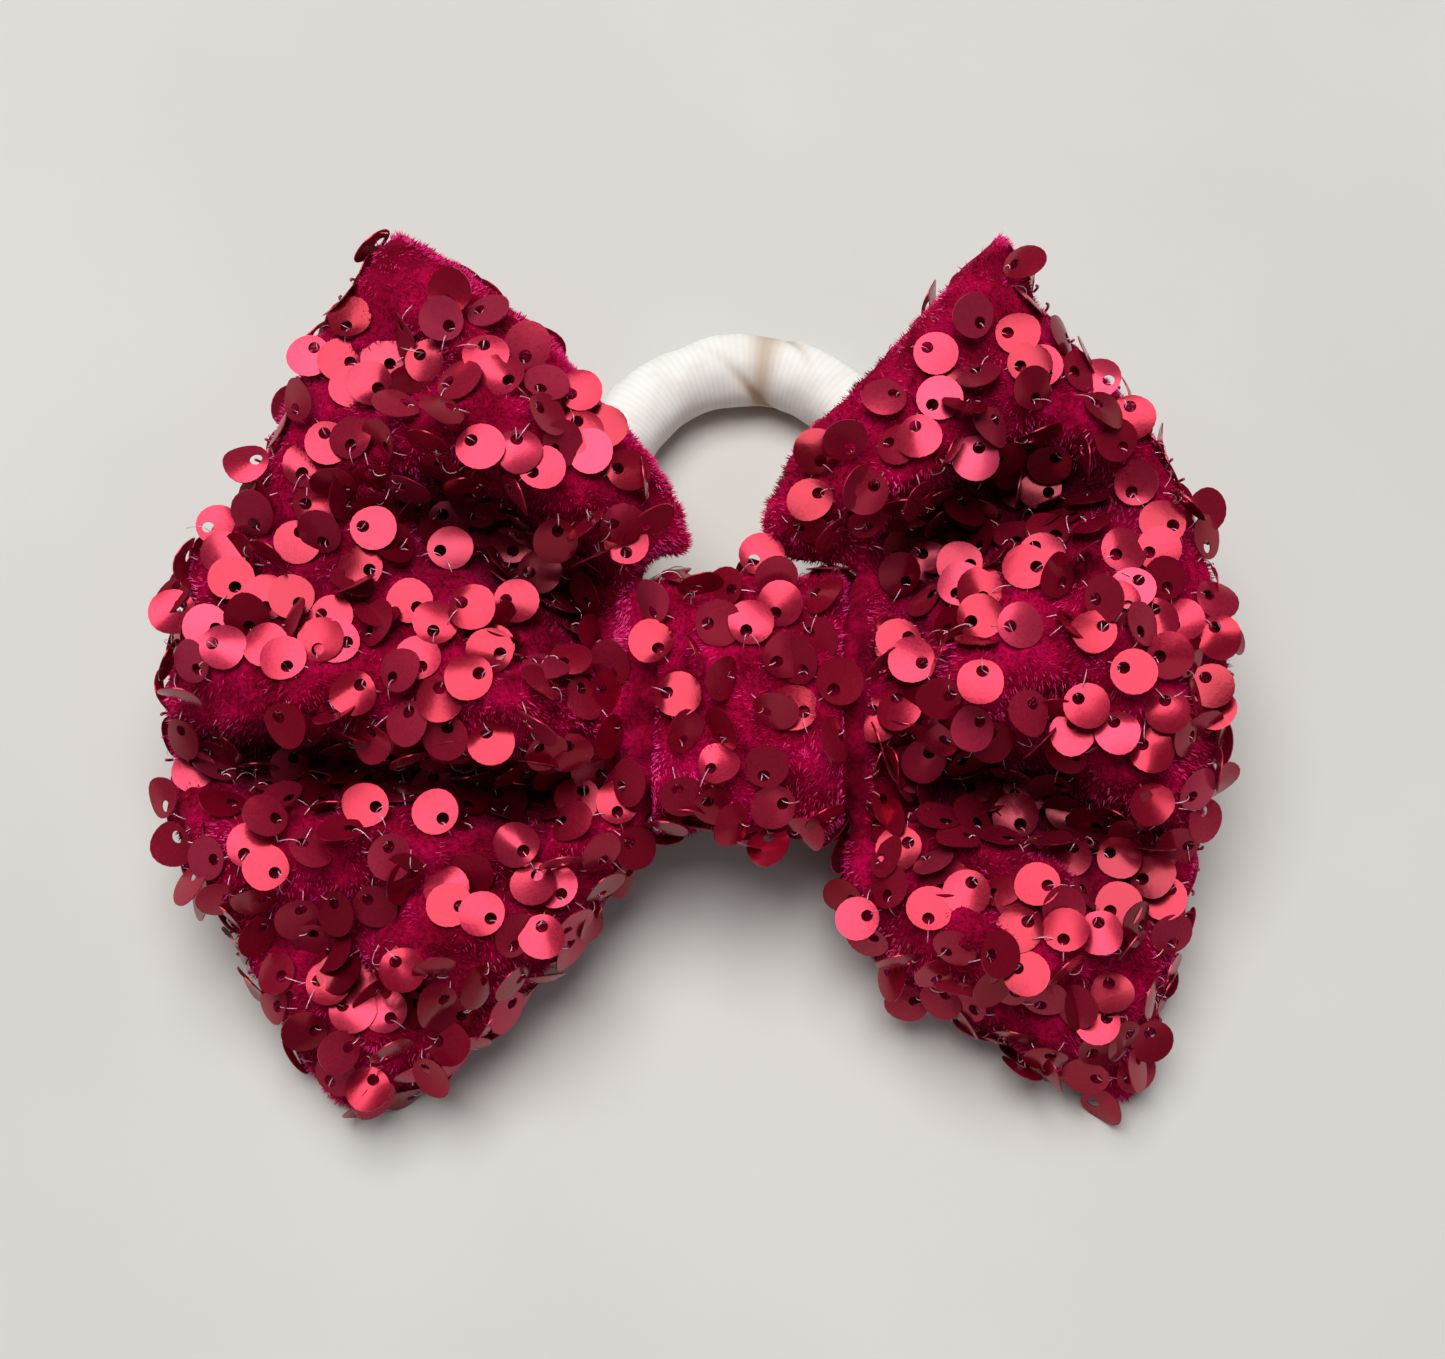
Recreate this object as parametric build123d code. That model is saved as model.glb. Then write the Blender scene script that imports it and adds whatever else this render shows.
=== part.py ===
from build123d import *
import math
import os

# ---------------------------------------------------------------------------
# Puffy sequin-velvet hair bow on a thick knitted hair tie.
# Lengths are millimetres.  Row frame: +Z up from the table the bow lies on,
# +X to the wearer's-right end of the bow as seen from its face, +Y from the
# bow's lower tips towards its upper tips and the hair tie.
#
# Every soft piece is first laid out in the bow's own flat frame:
#   u  along the bow (left wing negative, right wing positive)
#   v  up the bow's face
#   w  out of the face
# and then tipped up from the table by TILT_DEG.
# ---------------------------------------------------------------------------

os.makedirs("parts", exist_ok=True)

# ---- driving dimensions ----------------------------------------------------
TILT_DEG = 20.0            # slope of the bow's face above the table
WAIST_HEIGHT = 17.0        # waist centre above the table before trimming to zero

PANEL_THICK = 1.1          # sequin velvet, one layer with its knitted backing
PANEL_GAP = 0.45           # slack between the velvet and the filling
SEAM_HALF_GAP = 0.05       # front and back panels meet edge to edge here
EDGE_ROUND = 13.0          # distance over which a wing rises from its edge

FRONT_BASE = 8.5           # general height of a wing's front above its seam
BACK_BASE = 7.0            # general depth of a wing's back below its seam
BACK_BULGE = 10.2          # extra depth of the belly that the wing lies on

CORE_HALF_LENGTH = 11.4    # gathered waist, half its length along u
CORE_HALF_V = 11.1         # half height of the gathered waist
CORE_HALF_W = 8.2          # half depth of the gathered waist
CORE_W = 1.0               # the waist's centre stands this far in front of the seam
PLEATS = 15                # gathers round the waist
PLEAT_DEPTH = 0.45

BIND_HALF_BAND = 4.2       # the thread binding sits in this groove
BIND_THREAD = 0.7
BIND_TURNS = 6

WRAP_HALF_WIDTH = 10.3     # centre wrap, half its width along u
WRAP_THICK = 1.6           # two layers of folded sequin velvet
WRAP_GAP = 0.30

TIE_R = 4.4                # hair tie, outside radius of its round section
TIE_WALL = 1.1             # knitted cover
TIE_CORE_R = 3.2           # elastic core
TIE_V = 2.5                # where the hair tie passes behind the waist
TIE_W = -11.9
TIE_STRAIGHT = 9.5         # half of the straight stretch held by the wrap
TIE_CORNER_R = 6.5
TIE_HALF_WIDTH = 16.0      # ring centreline, half its width
TIE_LENGTH = 40.1          # hinge line to the far end of the centreline
TIE_DROP = 2.2             # the far end lies this much lower than the hinge line
JOIN_LENGTH = 5.0          # collar where the cover's ends meet

SEQUIN_R = 2.5             # 5 mm flat sequins
SEQUIN_HOLE_R = 0.68
SEQUIN_HOLE_OFF = 1.15     # the sewing hole is off centre
SEQUIN_THICK = 0.22
SEQUIN_PITCH = 6.6         # spacing of the sequin rows held in this model

STITCH_PITCH = 4.4

# ---- wing outlines: a = distance from the bow's middle, v = height ----------
LEFT = {
    "top": [(13.0, 6.5), (12.4, 11.5), (10.8, 14.9), (7.6, 16.2), (6.6, 19.0),
            (10.4, 26.1), (15.7, 32.4), (20.0, 37.8), (28.0, 44.4), (37.4, 51.0)],
    "outer": [(37.4, 51.0), (42.9, 43.1), (48.5, 32.0), (53.6, 21.8), (58.4, 15.0),
              (61.4, 2.0), (60.6, -8.0), (57.9, -17.6), (51.5, -30.0), (44.0, -42.9)],
    "low": [(44.0, -42.9), (33.8, -40.2), (25.3, -32.4), (18.9, -26.1),
            (14.6, -19.7), (11.8, -15.2), (12.2, -11.0), (13.0, -6.5)],
}
RIGHT = {
    "top": [(13.0, 6.5), (12.2, 11.5), (10.4, 14.9), (5.6, 15.4), (2.0, 17.2),
            (1.6, 21.0), (5.0, 27.0), (11.1, 33.2), (18.8, 41.8), (27.0, 50.5)],
    "outer": [(27.0, 50.5), (32.8, 40.0), (39.6, 32.4), (46.4, 22.0), (49.2, 12.0),
              (50.8, 5.0), (48.4, -10.1), (46.3, -21.0), (43.8, -31.4), (41.0, -42.5)],
    "low": [(41.0, -42.5), (33.2, -39.6), (26.8, -35.6), (19.4, -31.4), (14.0, -28.0),
            (11.2, -22.5), (9.8, -16.6), (12.0, -11.2), (13.0, -6.5)],
}
LEFT_CENTRE = (27.0, 10.5)     # every point of the outline can be seen from here
RIGHT_CENTRE = (26.0, 12.5)

# folds of the front: (path, height along the path, half width)
LEFT_FOLDS = [
    ([(9.0, 15.0), (22.0, 28.0), (37.0, 43.0)], (3.0, 4.0, 1.5), 7.5),
    ([(12.0, 1.0), (35.0, 3.0), (57.0, 3.0)], (3.0, 5.0, 3.0), 6.0),
    ([(14.0, -15.0), (30.0, -26.0), (43.0, -36.0)], (3.0, 4.0, 1.5), 7.5),
    ([(12.0, 7.5), (22.0, 14.5), (38.0, 23.0)], (-3.5, -5.5, -2.5), 5.4),
    ([(14.0, -8.0), (25.0, -9.5), (46.0, -8.0), (57.0, -6.0)], (-3.0, -4.8, -4.2, -2.5), 5.0),
]
RIGHT_FOLDS = [
    ([(6.0, 21.0), (14.0, 27.0), (24.0, 40.0)], (3.5, 4.0, 2.0), 6.5),
    ([(14.0, 1.0), (28.0, 6.0), (46.0, 2.0)], (3.0, 5.5, 3.5), 6.5),
    ([(13.0, -17.0), (26.0, -25.0), (39.0, -35.0)], (3.0, 4.0, 1.5), 7.5),
    ([(12.0, 10.5), (20.0, 17.5), (28.0, 22.0), (37.0, 24.0)], (-3.0, -6.0, -6.0, -2.5), 5.8),
    ([(14.0, -7.0), (24.0, -8.5), (41.0, -14.5)], (-3.0, -5.2, -3.8), 5.4),
]
BELLY = (38.0, -2.0, 14.0, 19.0)   # centre a, centre v, spread a, spread v
FLAT_BACK_A = 22.0                 # the back stays shallow inside this, to clear the hair tie

ANGLES = 44
RINGS = (0.0, 0.2, 0.38, 0.55, 0.7, 0.83, 0.93, 1.0)


# ---- small geometry helpers --------------------------------------------------
def smooth(x):
    x = max(0.0, min(1.0, x))
    return x * x * (3.0 - 2.0 * x)


def catmull(points, per_span):
    """A smooth line through open control points."""
    out = []
    n = len(points)
    for i in range(n - 1):
        p1, p2 = points[i], points[i + 1]
        p0 = points[i - 1] if i else (2 * p1[0] - p2[0], 2 * p1[1] - p2[1])
        p3 = points[i + 2] if i + 2 < n else (2 * p2[0] - p1[0], 2 * p2[1] - p1[1])
        for k in range(per_span):
            t = k / per_span
            out.append(tuple(
                0.5 * (2 * b + (c - a) * t + (2 * a - 5 * b + 4 * c - d) * t * t
                       + (3 * b - a - 3 * c + d) * t ** 3)
                for a, b, c, d in zip(p0, p1, p2, p3)))
    out.append(points[-1])
    return out


def near_path(p, path, values):
    """Distance from a path, and the value interpolated at the nearest point."""
    best = None
    for (x0, y0), (x1, y1), a, b in zip(path, path[1:], values, values[1:]):
        dx, dy = x1 - x0, y1 - y0
        t = ((p[0] - x0) * dx + (p[1] - y0) * dy) / (dx * dx + dy * dy)
        t = max(0.0, min(1.0, t))
        d = math.hypot(p[0] - x0 - t * dx, p[1] - y0 - t * dy)
        if best is None or d < best[0]:
            best = (d, a + (b - a) * t)
    return best


def tip(p):
    """From the bow's flat frame (u, v, w) to the row's axes."""
    t = math.radians(TILT_DEG)
    u, v, w = p
    return (u, v * math.cos(t) - w * math.sin(t),
            WAIST_HEIGHT + v * math.sin(t) + w * math.cos(t))


def faceted(triangles):
    """A closed solid from triangles of points in the row's axes."""
    faces = [Face(Wire.make_polygon([Vector(*p) for p in t], close=True)) for t in triangles]
    made = Solid(Shell(faces))
    if made.volume < 0:
        made = Solid(Shell([-f for f in faces]))
    return made


class Wing:
    """One puffy wing: a front and a back surface over one outline."""

    def __init__(self, side, outline, centre, folds):
        self.side = side
        self.centre = centre
        self.folds = folds
        top = catmull(outline["top"], 8)
        outer = catmull(outline["outer"], 8)
        low = catmull(outline["low"], 8)
        self.rim = top[:-1] + outer[:-1] + low          # from neck top round to neck bottom
        self.outer = outer
        self.facets = {}

    def edge(self, p):
        """0 on the sewn or folded edge, 1 inside; the neck is not an edge."""
        d = min(near_path(p, [a, b], (0, 0))[0] for a, b in zip(self.rim, self.rim[1:]))
        e = min(1.0, d / EDGE_ROUND)
        return math.sqrt(max(0.0, 1.0 - (1.0 - e) ** 2))

    def seam(self, p):
        """The seam's own small wander in front of or behind the flat frame."""
        a, v = p
        return (-2.0 * smooth((-v - 18.0) / 24.0) - 1.5 * smooth((v - 25.0) / 25.0))

    def front(self, p, e):
        h = FRONT_BASE
        for path, values, width in self.folds:
            d, value = near_path(p, path, values)
            h += value * math.exp(-(d / width) ** 2)
        return max(h, 2.4) * e

    def back(self, p, e):
        a, v = p
        ca, cv, sa, sv = BELLY
        h = BACK_BASE + BACK_BULGE * math.exp(-((a - ca) / sa) ** 2 - ((v - cv) / sv) ** 2) \
            * smooth((a - FLAT_BACK_A + 7.0) / 14.0)
        # the belly lies flat where it meets the table
        t = math.radians(TILT_DEG)
        room = (WAIST_HEIGHT + v * math.sin(t)) / math.cos(t) + self.seam(p) - SEAM_HALF_GAP
        return min(h * e, max(0.15, room))

    def angles(self):
        """Ray angles, even along the outline, with the four corners among them."""
        shares = [0.27, 0.36, 0.25, 0.12]
        out = []
        pieces = []
        n_top = next(i for i, q in enumerate(self.rim) if q == self.outer[0])
        n_out = next(i for i, q in enumerate(self.rim) if q == self.outer[-1])
        pieces.append(self.rim[:n_top + 1])
        pieces.append(self.rim[n_top:n_out + 1])
        pieces.append(self.rim[n_out:])
        pieces.append([self.rim[-1], self.rim[0]])
        for piece, share in zip(pieces, shares):
            n = max(3, round(ANGLES * share))
            lengths = [0.0]
            for a, b in zip(piece, piece[1:]):
                lengths.append(lengths[-1] + math.dist(a, b))
            for k in range(n):
                want = lengths[-1] * k / n
                i = max(j for j in range(len(piece) - 1) if lengths[j] <= want + 1e-9)
                f = (want - lengths[i]) / max(1e-9, lengths[i + 1] - lengths[i])
                out.append((piece[i][0] + f * (piece[i + 1][0] - piece[i][0]),
                            piece[i][1] + f * (piece[i + 1][1] - piece[i][1])))
        return out

    def inset(self, points, by):
        """The outline drawn in by a distance, point for point."""
        n = len(points)
        out = []
        cx, cy = self.centre
        for i, p in enumerate(points):
            a, b = points[i - 1], points[(i + 1) % n]
            tx, ty = b[0] - a[0], b[1] - a[1]
            length = math.hypot(tx, ty)
            nx, ny = -ty / length, tx / length
            if nx * (cx - p[0]) + ny * (cy - p[1]) < 0:
                nx, ny = -nx, -ny
            out.append((p[0] + nx * by, p[1] + ny * by))
        return out

    def skin(self, side, depth, lift, flat=False):
        """Rows of points of one surface, depth below the outside of the velvet."""
        outline = self.angles()
        inner = self.inset(outline, depth) if depth else outline
        cx, cy = self.centre
        rows = []
        for r in RINGS:
            row = []
            for o, q in zip(outline, inner):
                at = (cx + r * (o[0] - cx), cy + r * (o[1] - cy))
                p = (cx + r * (q[0] - cx), cy + r * (q[1] - cy))
                e = self.edge(at)
                h = (self.front(at, e) if side > 0 else self.back(at, e)) - depth * e
                w = self.seam(p) + side * (h + lift)
                at = (self.side * p[0], p[1], w)
                row.append(at if flat else tip(at))
            rows.append(row)
        return rows

    def facet_level(self, u, v, side):
        """Height of the faceted panel at a place on the bow's flat frame, or None."""
        if side not in self.facets:
            self.facets[side] = self.cover(self.skin(side, 0.0, SEAM_HALF_GAP, True), False)
        found = None
        for (x0, y0, z0), (x1, y1, z1), (x2, y2, z2) in self.facets[side]:
            if not (min(x0, x1, x2) <= u <= max(x0, x1, x2)
                    and min(y0, y1, y2) <= v <= max(y0, y1, y2)):
                continue
            det = (y1 - y2) * (x0 - x2) + (x2 - x1) * (y0 - y2)
            if abs(det) < 1e-9:
                continue
            l0 = ((y1 - y2) * (u - x2) + (x2 - x1) * (v - y2)) / det
            l1 = ((y2 - y0) * (u - x2) + (x0 - x2) * (v - y2)) / det
            if min(l0, l1, 1 - l0 - l1) < -1e-6:
                continue
            z = l0 * z0 + l1 * z1 + (1 - l0 - l1) * z2
            if found is None or z * side > found * side:
                found = z
        return found

    @staticmethod
    def cover(rows, flip):
        """Triangles over rows of points that start at one pole."""
        out = []
        n = len(rows[1])
        for j in range(n):
            k = (j + 1) % n
            out.append((rows[0][0], rows[1][j], rows[1][k]))
            for a, b in zip(rows[1:], rows[2:]):
                out.append((a[j], b[j], b[k]))
                out.append((a[j], b[k], a[k]))
        return [t[::-1] for t in out] if flip else out

    @staticmethod
    def band(one, other, flip):
        out = []
        n = len(one)
        for j in range(n):
            k = (j + 1) % n
            out.append((one[j], other[j], other[k]))
            out.append((one[j], other[k], one[k]))
        return [t[::-1] for t in out] if flip else out

    def panel(self, side):
        outside = self.skin(side, 0.0, SEAM_HALF_GAP)
        inside = self.skin(side, PANEL_THICK, SEAM_HALF_GAP)
        return faceted(self.cover(outside, False) + self.cover(inside, True)
                       + self.band(outside[-1], inside[-1], False))

    def filling(self):
        front = self.skin(1, PANEL_THICK + PANEL_GAP, 0.0)
        back = self.skin(-1, PANEL_THICK + PANEL_GAP, 0.0)
        n = len(front[-1])
        # the two skins share their rim, except across the neck
        flat = [abs(self.edge(p)) < 1e-6 for p in self.angles()]
        side_wall = []
        for j in range(n):
            k = (j + 1) % n
            a, b, c, d = front[-1][j], front[-1][k], back[-1][j], back[-1][k]
            if flat[j]:
                back[-1][j] = a
                c = a
            if flat[k]:
                back[-1][k] = b
                d = b
            for t in ((a, c, d), (a, d, b)):
                if len({tuple(round(x, 7) for x in q) for q in t}) == 3:
                    side_wall.append(t)
        tris = self.cover(front, False) + self.cover(back, True) + side_wall
        return faceted(tris)

    def surface_point(self, p, side):
        e = self.edge(p)
        h = self.front(p, e) if side > 0 else self.back(p, e)
        return (self.side * p[0], p[1], self.seam(p) + side * (h + SEAM_HALF_GAP))

    def inside(self, p, margin):
        """Is a point inside the outline by at least the margin?"""
        loop = self.rim
        c = False
        j = len(loop) - 1
        for i in range(len(loop)):
            (xi, yi), (xj, yj) = loop[i], loop[j]
            if (yi > p[1]) != (yj > p[1]) and p[0] < (xj - xi) * (p[1] - yi) / (yj - yi) + xi:
                c = not c
            j = i
        if not c:
            return False
        d = min(near_path(p, [a, b], (0, 0))[0] for a, b in zip(loop, loop[1:] + loop[:1]))
        return d >= margin

    def sequins(self, side, keep_out):
        """Flat sequins in staggered rows just clear of the velvet."""
        out = []
        row = 0
        v = -42.0
        while v < 52.0:
            a = 10.0 + (SEQUIN_PITCH / 2 if row % 2 else 0.0)
            while a < 64.0:
                wob = (a + 0.6 * math.sin(v * 1.7 + a), v + 0.5 * math.sin(a * 0.9))
                if self.inside(wob, 4.4) and not keep_out(wob):
                    placed = self.place_sequin(wob, side)
                    if placed is not None:
                        out.append(placed)
                a += SEQUIN_PITCH
            v += SEQUIN_PITCH * 0.87
            row += 1
        return out

    def place_sequin(self, p, side):
        h = 1.2
        c = self.surface_point(p, side)
        gu = [(x - y) / (2 * h) for x, y in zip(self.surface_point((p[0] + h, p[1]), side),
                                                 self.surface_point((p[0] - h, p[1]), side))]
        gv = [(x - y) / (2 * h) for x, y in zip(self.surface_point((p[0], p[1] + h), side),
                                                 self.surface_point((p[0], p[1] - h), side))]
        nrm = (gu[1] * gv[2] - gu[2] * gv[1], gu[2] * gv[0] - gu[0] * gv[2],
               gu[0] * gv[1] - gu[1] * gv[0])
        length = math.sqrt(sum(x * x for x in nrm))
        nrm = [x / length for x in nrm]
        if nrm[2] * side < 0:
            nrm = [-x for x in nrm]
        if abs(nrm[2]) < 0.55:
            return None
        t1 = [x / math.sqrt(sum(y * y for y in gu)) for x in gu]
        t2 = [nrm[1] * t1[2] - nrm[2] * t1[1], nrm[2] * t1[0] - nrm[0] * t1[2],
              nrm[0] * t1[1] - nrm[1] * t1[0]]
        lift = 0.45
        for k in range(33):
            ang = k * math.pi / 8
            out = SEQUIN_R * (1.12 if k < 16 else 0.6 if k < 32 else 0.0)
            q = [c[i] + out * (math.cos(ang) * t1[i] + math.sin(ang) * t2[i])
                 for i in range(3)]
            level = self.facet_level(q[0], q[1], side)
            if level is None:
                return None
            lift = max(lift, (level - q[2]) * side * abs(nrm[2]) + 0.5)
        if lift > 1.3:
            return None
        o = [c[i] + (lift + 0.35) * nrm[i] for i in range(3)]
        if side < 0 and tip(o)[2] < 0.5 + SEQUIN_R * math.sqrt(max(0.0, 1.0 - (tip(nrm)[2] - WAIST_HEIGHT) ** 2)):
            return None
        return sequin(o, t1, nrm)


def sequin(origin, along, normal):
    """One sequin, facing along the normal, given in the bow's flat frame."""
    far = tip(origin)
    base = tip((0, 0, 0))
    turn = lambda d: Vector(*[x - y for x, y in zip(tip(d), base)])
    plane = Plane(origin=Vector(*far), x_dir=turn(along), z_dir=turn(normal))
    shape = RegularPolygon(SEQUIN_R, 12) - Pos(SEQUIN_HOLE_OFF, 0) * RegularPolygon(SEQUIN_HOLE_R, 6)
    made = extrude(shape, amount=SEQUIN_THICK)
    return plane * made


# ---- the wings ---------------------------------------------------------------
left = Wing(-1, LEFT, LEFT_CENTRE, LEFT_FOLDS)
right = Wing(1, RIGHT, RIGHT_CENTRE, RIGHT_FOLDS)

pieces = {}
for name, wing in (("left", left), ("right", right)):
    pieces[name + "_front_panel"] = wing.panel(1)
    pieces[name + "_back_panel"] = wing.panel(-1)
    pieces[name + "_filling"] = wing.filling()
    beside_knot = lambda p: (p[0] < 21.0 and abs(p[1]) < 21.0) or p[0] < 15.0
    pieces[name + "_front_sequins"] = wing.sequins(1, beside_knot)
    clear_of_tie = lambda p: p[0] < 25.5 and p[1] > -14.0
    on_table = lambda p: abs(p[0] - 38.0) < 15.0 and abs(p[1] + 2.0) < 15.0
    pieces[name + "_back_sequins"] = wing.sequins(
        -1, lambda p: beside_knot(p) or clear_of_tie(p) or on_table(p) or p[1] < -30.0)

    # side seam: one short stitch after another over the outer edge
    stitches = []
    line = wing.outer
    lengths = [0.0]
    for a, b in zip(line, line[1:]):
        lengths.append(lengths[-1] + math.dist(a, b))
    count = int((lengths[-1] - 8.0) / STITCH_PITCH)
    for k in range(count):
        want = 4.0 + (k + 0.5) * (lengths[-1] - 8.0) / count
        i = max(j for j in range(len(line) - 1) if lengths[j] <= want)
        f = (want - lengths[i]) / (lengths[i + 1] - lengths[i])
        a, b = line[i], line[i + 1]
        p = (a[0] + f * (b[0] - a[0]), a[1] + f * (b[1] - a[1]))
        tx, ty = b[0] - a[0], b[1] - a[1]
        length = math.hypot(tx, ty)
        nx, ny = ty / length, -tx / length
        if nx * (p[0] - wing.centre[0]) + ny * (p[1] - wing.centre[1]) < 0:
            nx, ny = -nx, -ny
        q = (p[0] + 0.38 * nx, p[1] + 0.38 * ny)
        base = tip((0, 0, 0))
        turn = lambda d: Vector(*[x - y for x, y in zip(tip(d), base)])
        plane = Plane(origin=Vector(*tip((wing.side * q[0], q[1], wing.seam(p)))),
                      x_dir=turn((wing.side * nx, ny, 0)), z_dir=turn((0, 0, 1)))
        stitches.append(plane * Box(0.45, 0.55, 2.1))
    pieces[name + "_seam_stitches"] = stitches


# ---- the waist ---------------------------------------------------------------
def waist_ring(half_v, half_w, pleat, n):
    """Points round the gathered waist, in (v, w)."""
    out = []
    for i in range(n):
        a = 2 * math.pi * i / n
        grow = pleat * math.cos(PLEATS * a)
        out.append(((half_v + grow) * math.cos(a), CORE_W + (half_w + grow) * math.sin(a)))
    return out


def prism(points, u0, u1):
    """A bar along u with a cross-section given in (v, w)."""
    face = Face(Wire.make_polygon([Vector(*tip((u0, v, w))) for v, w in points], close=True))
    return Solid.extrude(face, Vector(u1 - u0, 0, 0))


core = prism(waist_ring(CORE_HALF_V, CORE_HALF_W, PLEAT_DEPTH, 4 * PLEATS),
             -CORE_HALF_LENGTH, CORE_HALF_LENGTH)
groove_out = prism(waist_ring(CORE_HALF_V + 4, CORE_HALF_W + 4, 0, 30),
                   -BIND_HALF_BAND, BIND_HALF_BAND)
groove_in = prism(waist_ring(CORE_HALF_V - 1.5, CORE_HALF_W - 1.5, 0, 30),
                  -BIND_HALF_BAND - 1, BIND_HALF_BAND + 1)
pieces["waist_gathers"] = core - (groove_out - groove_in)

turns = []
for k in range(BIND_TURNS):
    u = -BIND_HALF_BAND + 0.6 + k * (2 * BIND_HALF_BAND - 1.2) / (BIND_TURNS - 1)
    ring_out = prism(waist_ring(CORE_HALF_V - 1.35 + BIND_THREAD, CORE_HALF_W - 1.35 + BIND_THREAD, 0, 30),
                     u - BIND_THREAD / 2, u + BIND_THREAD / 2)
    ring_in = prism(waist_ring(CORE_HALF_V - 1.35, CORE_HALF_W - 1.35, 0, 30),
                    u - BIND_THREAD, u + BIND_THREAD)
    turns.append(ring_out - ring_in)
pieces["waist_binding_thread"] = turns


# ---- the centre wrap: one strip round the waist and the hair tie --------------
def hull(points):
    points = sorted(set(points))
    def half(ps):
        out = []
        for p in ps:
            while len(out) > 1 and ((out[-1][0] - out[-2][0]) * (p[1] - out[-2][1])
                                    - (out[-1][1] - out[-2][1]) * (p[0] - out[-2][0])) <= 1e-9:
                out.pop()
            out.append(p)
        return out
    low, up = half(points), half(points[::-1])
    return low[:-1] + up[:-1]


def wrap_line(grow):
    ellipse = [((CORE_HALF_V + PLEAT_DEPTH + grow) * math.cos(2 * math.pi * i / 36),
                CORE_W + (CORE_HALF_W + PLEAT_DEPTH + grow) * math.sin(2 * math.pi * i / 36))
               for i in range(36)]
    circle = [(TIE_V + (TIE_R + grow) * math.cos(2 * math.pi * i / 24),
               TIE_W + (TIE_R + grow) * math.sin(2 * math.pi * i / 24)) for i in range(24)]
    return hull(ellipse + circle)


wrap_out = prism(wrap_line(WRAP_GAP + WRAP_THICK), -WRAP_HALF_WIDTH, WRAP_HALF_WIDTH)
wrap_in = prism(wrap_line(WRAP_GAP), -WRAP_HALF_WIDTH - 1, WRAP_HALF_WIDTH + 1)
pieces["centre_wrap"] = wrap_out - wrap_in

# the strip's free end, laid over the lower flank of the wrap and sewn down
line = wrap_line(WRAP_GAP + WRAP_THICK)
flank = max(((a, b) for a, b in zip(line, line[1:] + line[:1])
             if (a[0] + b[0]) / 2 < 0), key=lambda ab: math.dist(*ab))
(v0, w0), (v1, w1) = flank
if w0 < w1:
    (v0, w0), (v1, w1) = (v1, w1), (v0, w0)
length = math.dist((v0, w0), (v1, w1))
tv, tw = (v1 - v0) / length, (w1 - w0) / length
nv, nw = tw, -tv
if nv > 0:
    nv, nw = -nv, -nw
FLAP_THICK = 1.0
FLAP_LONG = min(6.4, length - 1.2)
f0 = (length - FLAP_LONG) / 2
flap = [(v0 + tv * (f0 + x) + nv * y, w0 + tw * (f0 + x) + nw * y)
        for x, y in ((0, 0.06), (FLAP_LONG, 0.06), (FLAP_LONG, 0.06 + FLAP_THICK), (0, 0.06 + FLAP_THICK))]
pieces["wrap_end_flap"] = prism(flap, -WRAP_HALF_WIDTH + 0.5, WRAP_HALF_WIDTH - 0.5)

# hand stitches along the flap's free edge
stitches = []
for k in range(7):
    u = -8.4 + k * 2.8
    bar = [(v0 + tv * (f0 + x) + nv * y, w0 + tw * (f0 + x) + nw * y)
           for x, y in ((-1.3, 0.15), (-0.12, 0.15), (-0.12, FLAP_THICK + 0.2), (1.1, FLAP_THICK + 0.2),
                        (1.1, FLAP_THICK + 0.65), (-0.65, FLAP_THICK + 0.65), (-1.3, 0.65))]
    stitches.append(prism(bar, u - 0.25, u + 0.25))
pieces["wrap_stitches"] = stitches

# sequins on the wrap's face
found = []
for i, deg in enumerate((36, 58, 80, 102, 124, 146)):
    ang = math.radians(deg)
    grow = WRAP_GAP + WRAP_THICK
    hv, hw = CORE_HALF_V + PLEAT_DEPTH + grow, CORE_HALF_W + PLEAT_DEPTH + grow
    nv, nw = math.cos(ang) / hv, math.sin(ang) / hw
    size = math.hypot(nv, nw)
    nv, nw = nv / size, nw / size
    for u in ((-6.4, 0.2, 6.6) if i % 2 else (-3.3, 3.5)):
        o = (u, hv * math.cos(ang) + 0.75 * nv, CORE_W + hw * math.sin(ang) + 0.75 * nw)
        found.append(sequin(o, (1, 0, 0), (0, nv, nw)))
pieces["centre_sequins"] = found


# ---- the hair tie: a knitted ring over an elastic core ------------------------
slope = math.asin(TIE_DROP / TIE_LENGTH)
hinge = tip((0.0, TIE_V, TIE_W))
ring_plane = Plane(origin=Vector(*hinge), x_dir=(1, 0, 0),
                   z_dir=(0, math.sin(slope), math.cos(slope)))


def ring_tube(radius):
    """The whole ring at one radius: straight and round stretches, end to end."""
    far = TIE_LENGTH - TIE_HALF_WIDTH
    s = TIE_STRAIGHT
    rc = TIE_CORNER_R
    solids = [Pos(0, 0, 0) * Rot(0, 90, 0) * Cylinder(radius, 2 * s)]
    for sign in (-1, 1):
        # corner where the ring comes out of the wrap
        section = Pos(sign * s, 0, 0) * Rot(0, 90, 0) * Circle(radius)
        axis = Axis((sign * s, rc, 0), (0, 0, sign))
        solids.append(revolve(section, axis, 90))
        solids.append(Pos(sign * TIE_HALF_WIDTH, (rc + far) / 2, 0) * Rot(90, 0, 0)
                      * Cylinder(radius, far - rc))
    section = Pos(TIE_HALF_WIDTH, far, 0) * Rot(90, 0, 0) * Circle(radius)
    solids.append(revolve(section, Axis((0, far, 0), (0, 0, 1)), 180))
    out = solids[0]
    for s_ in solids[1:]:
        out = out + s_
    return out


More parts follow.
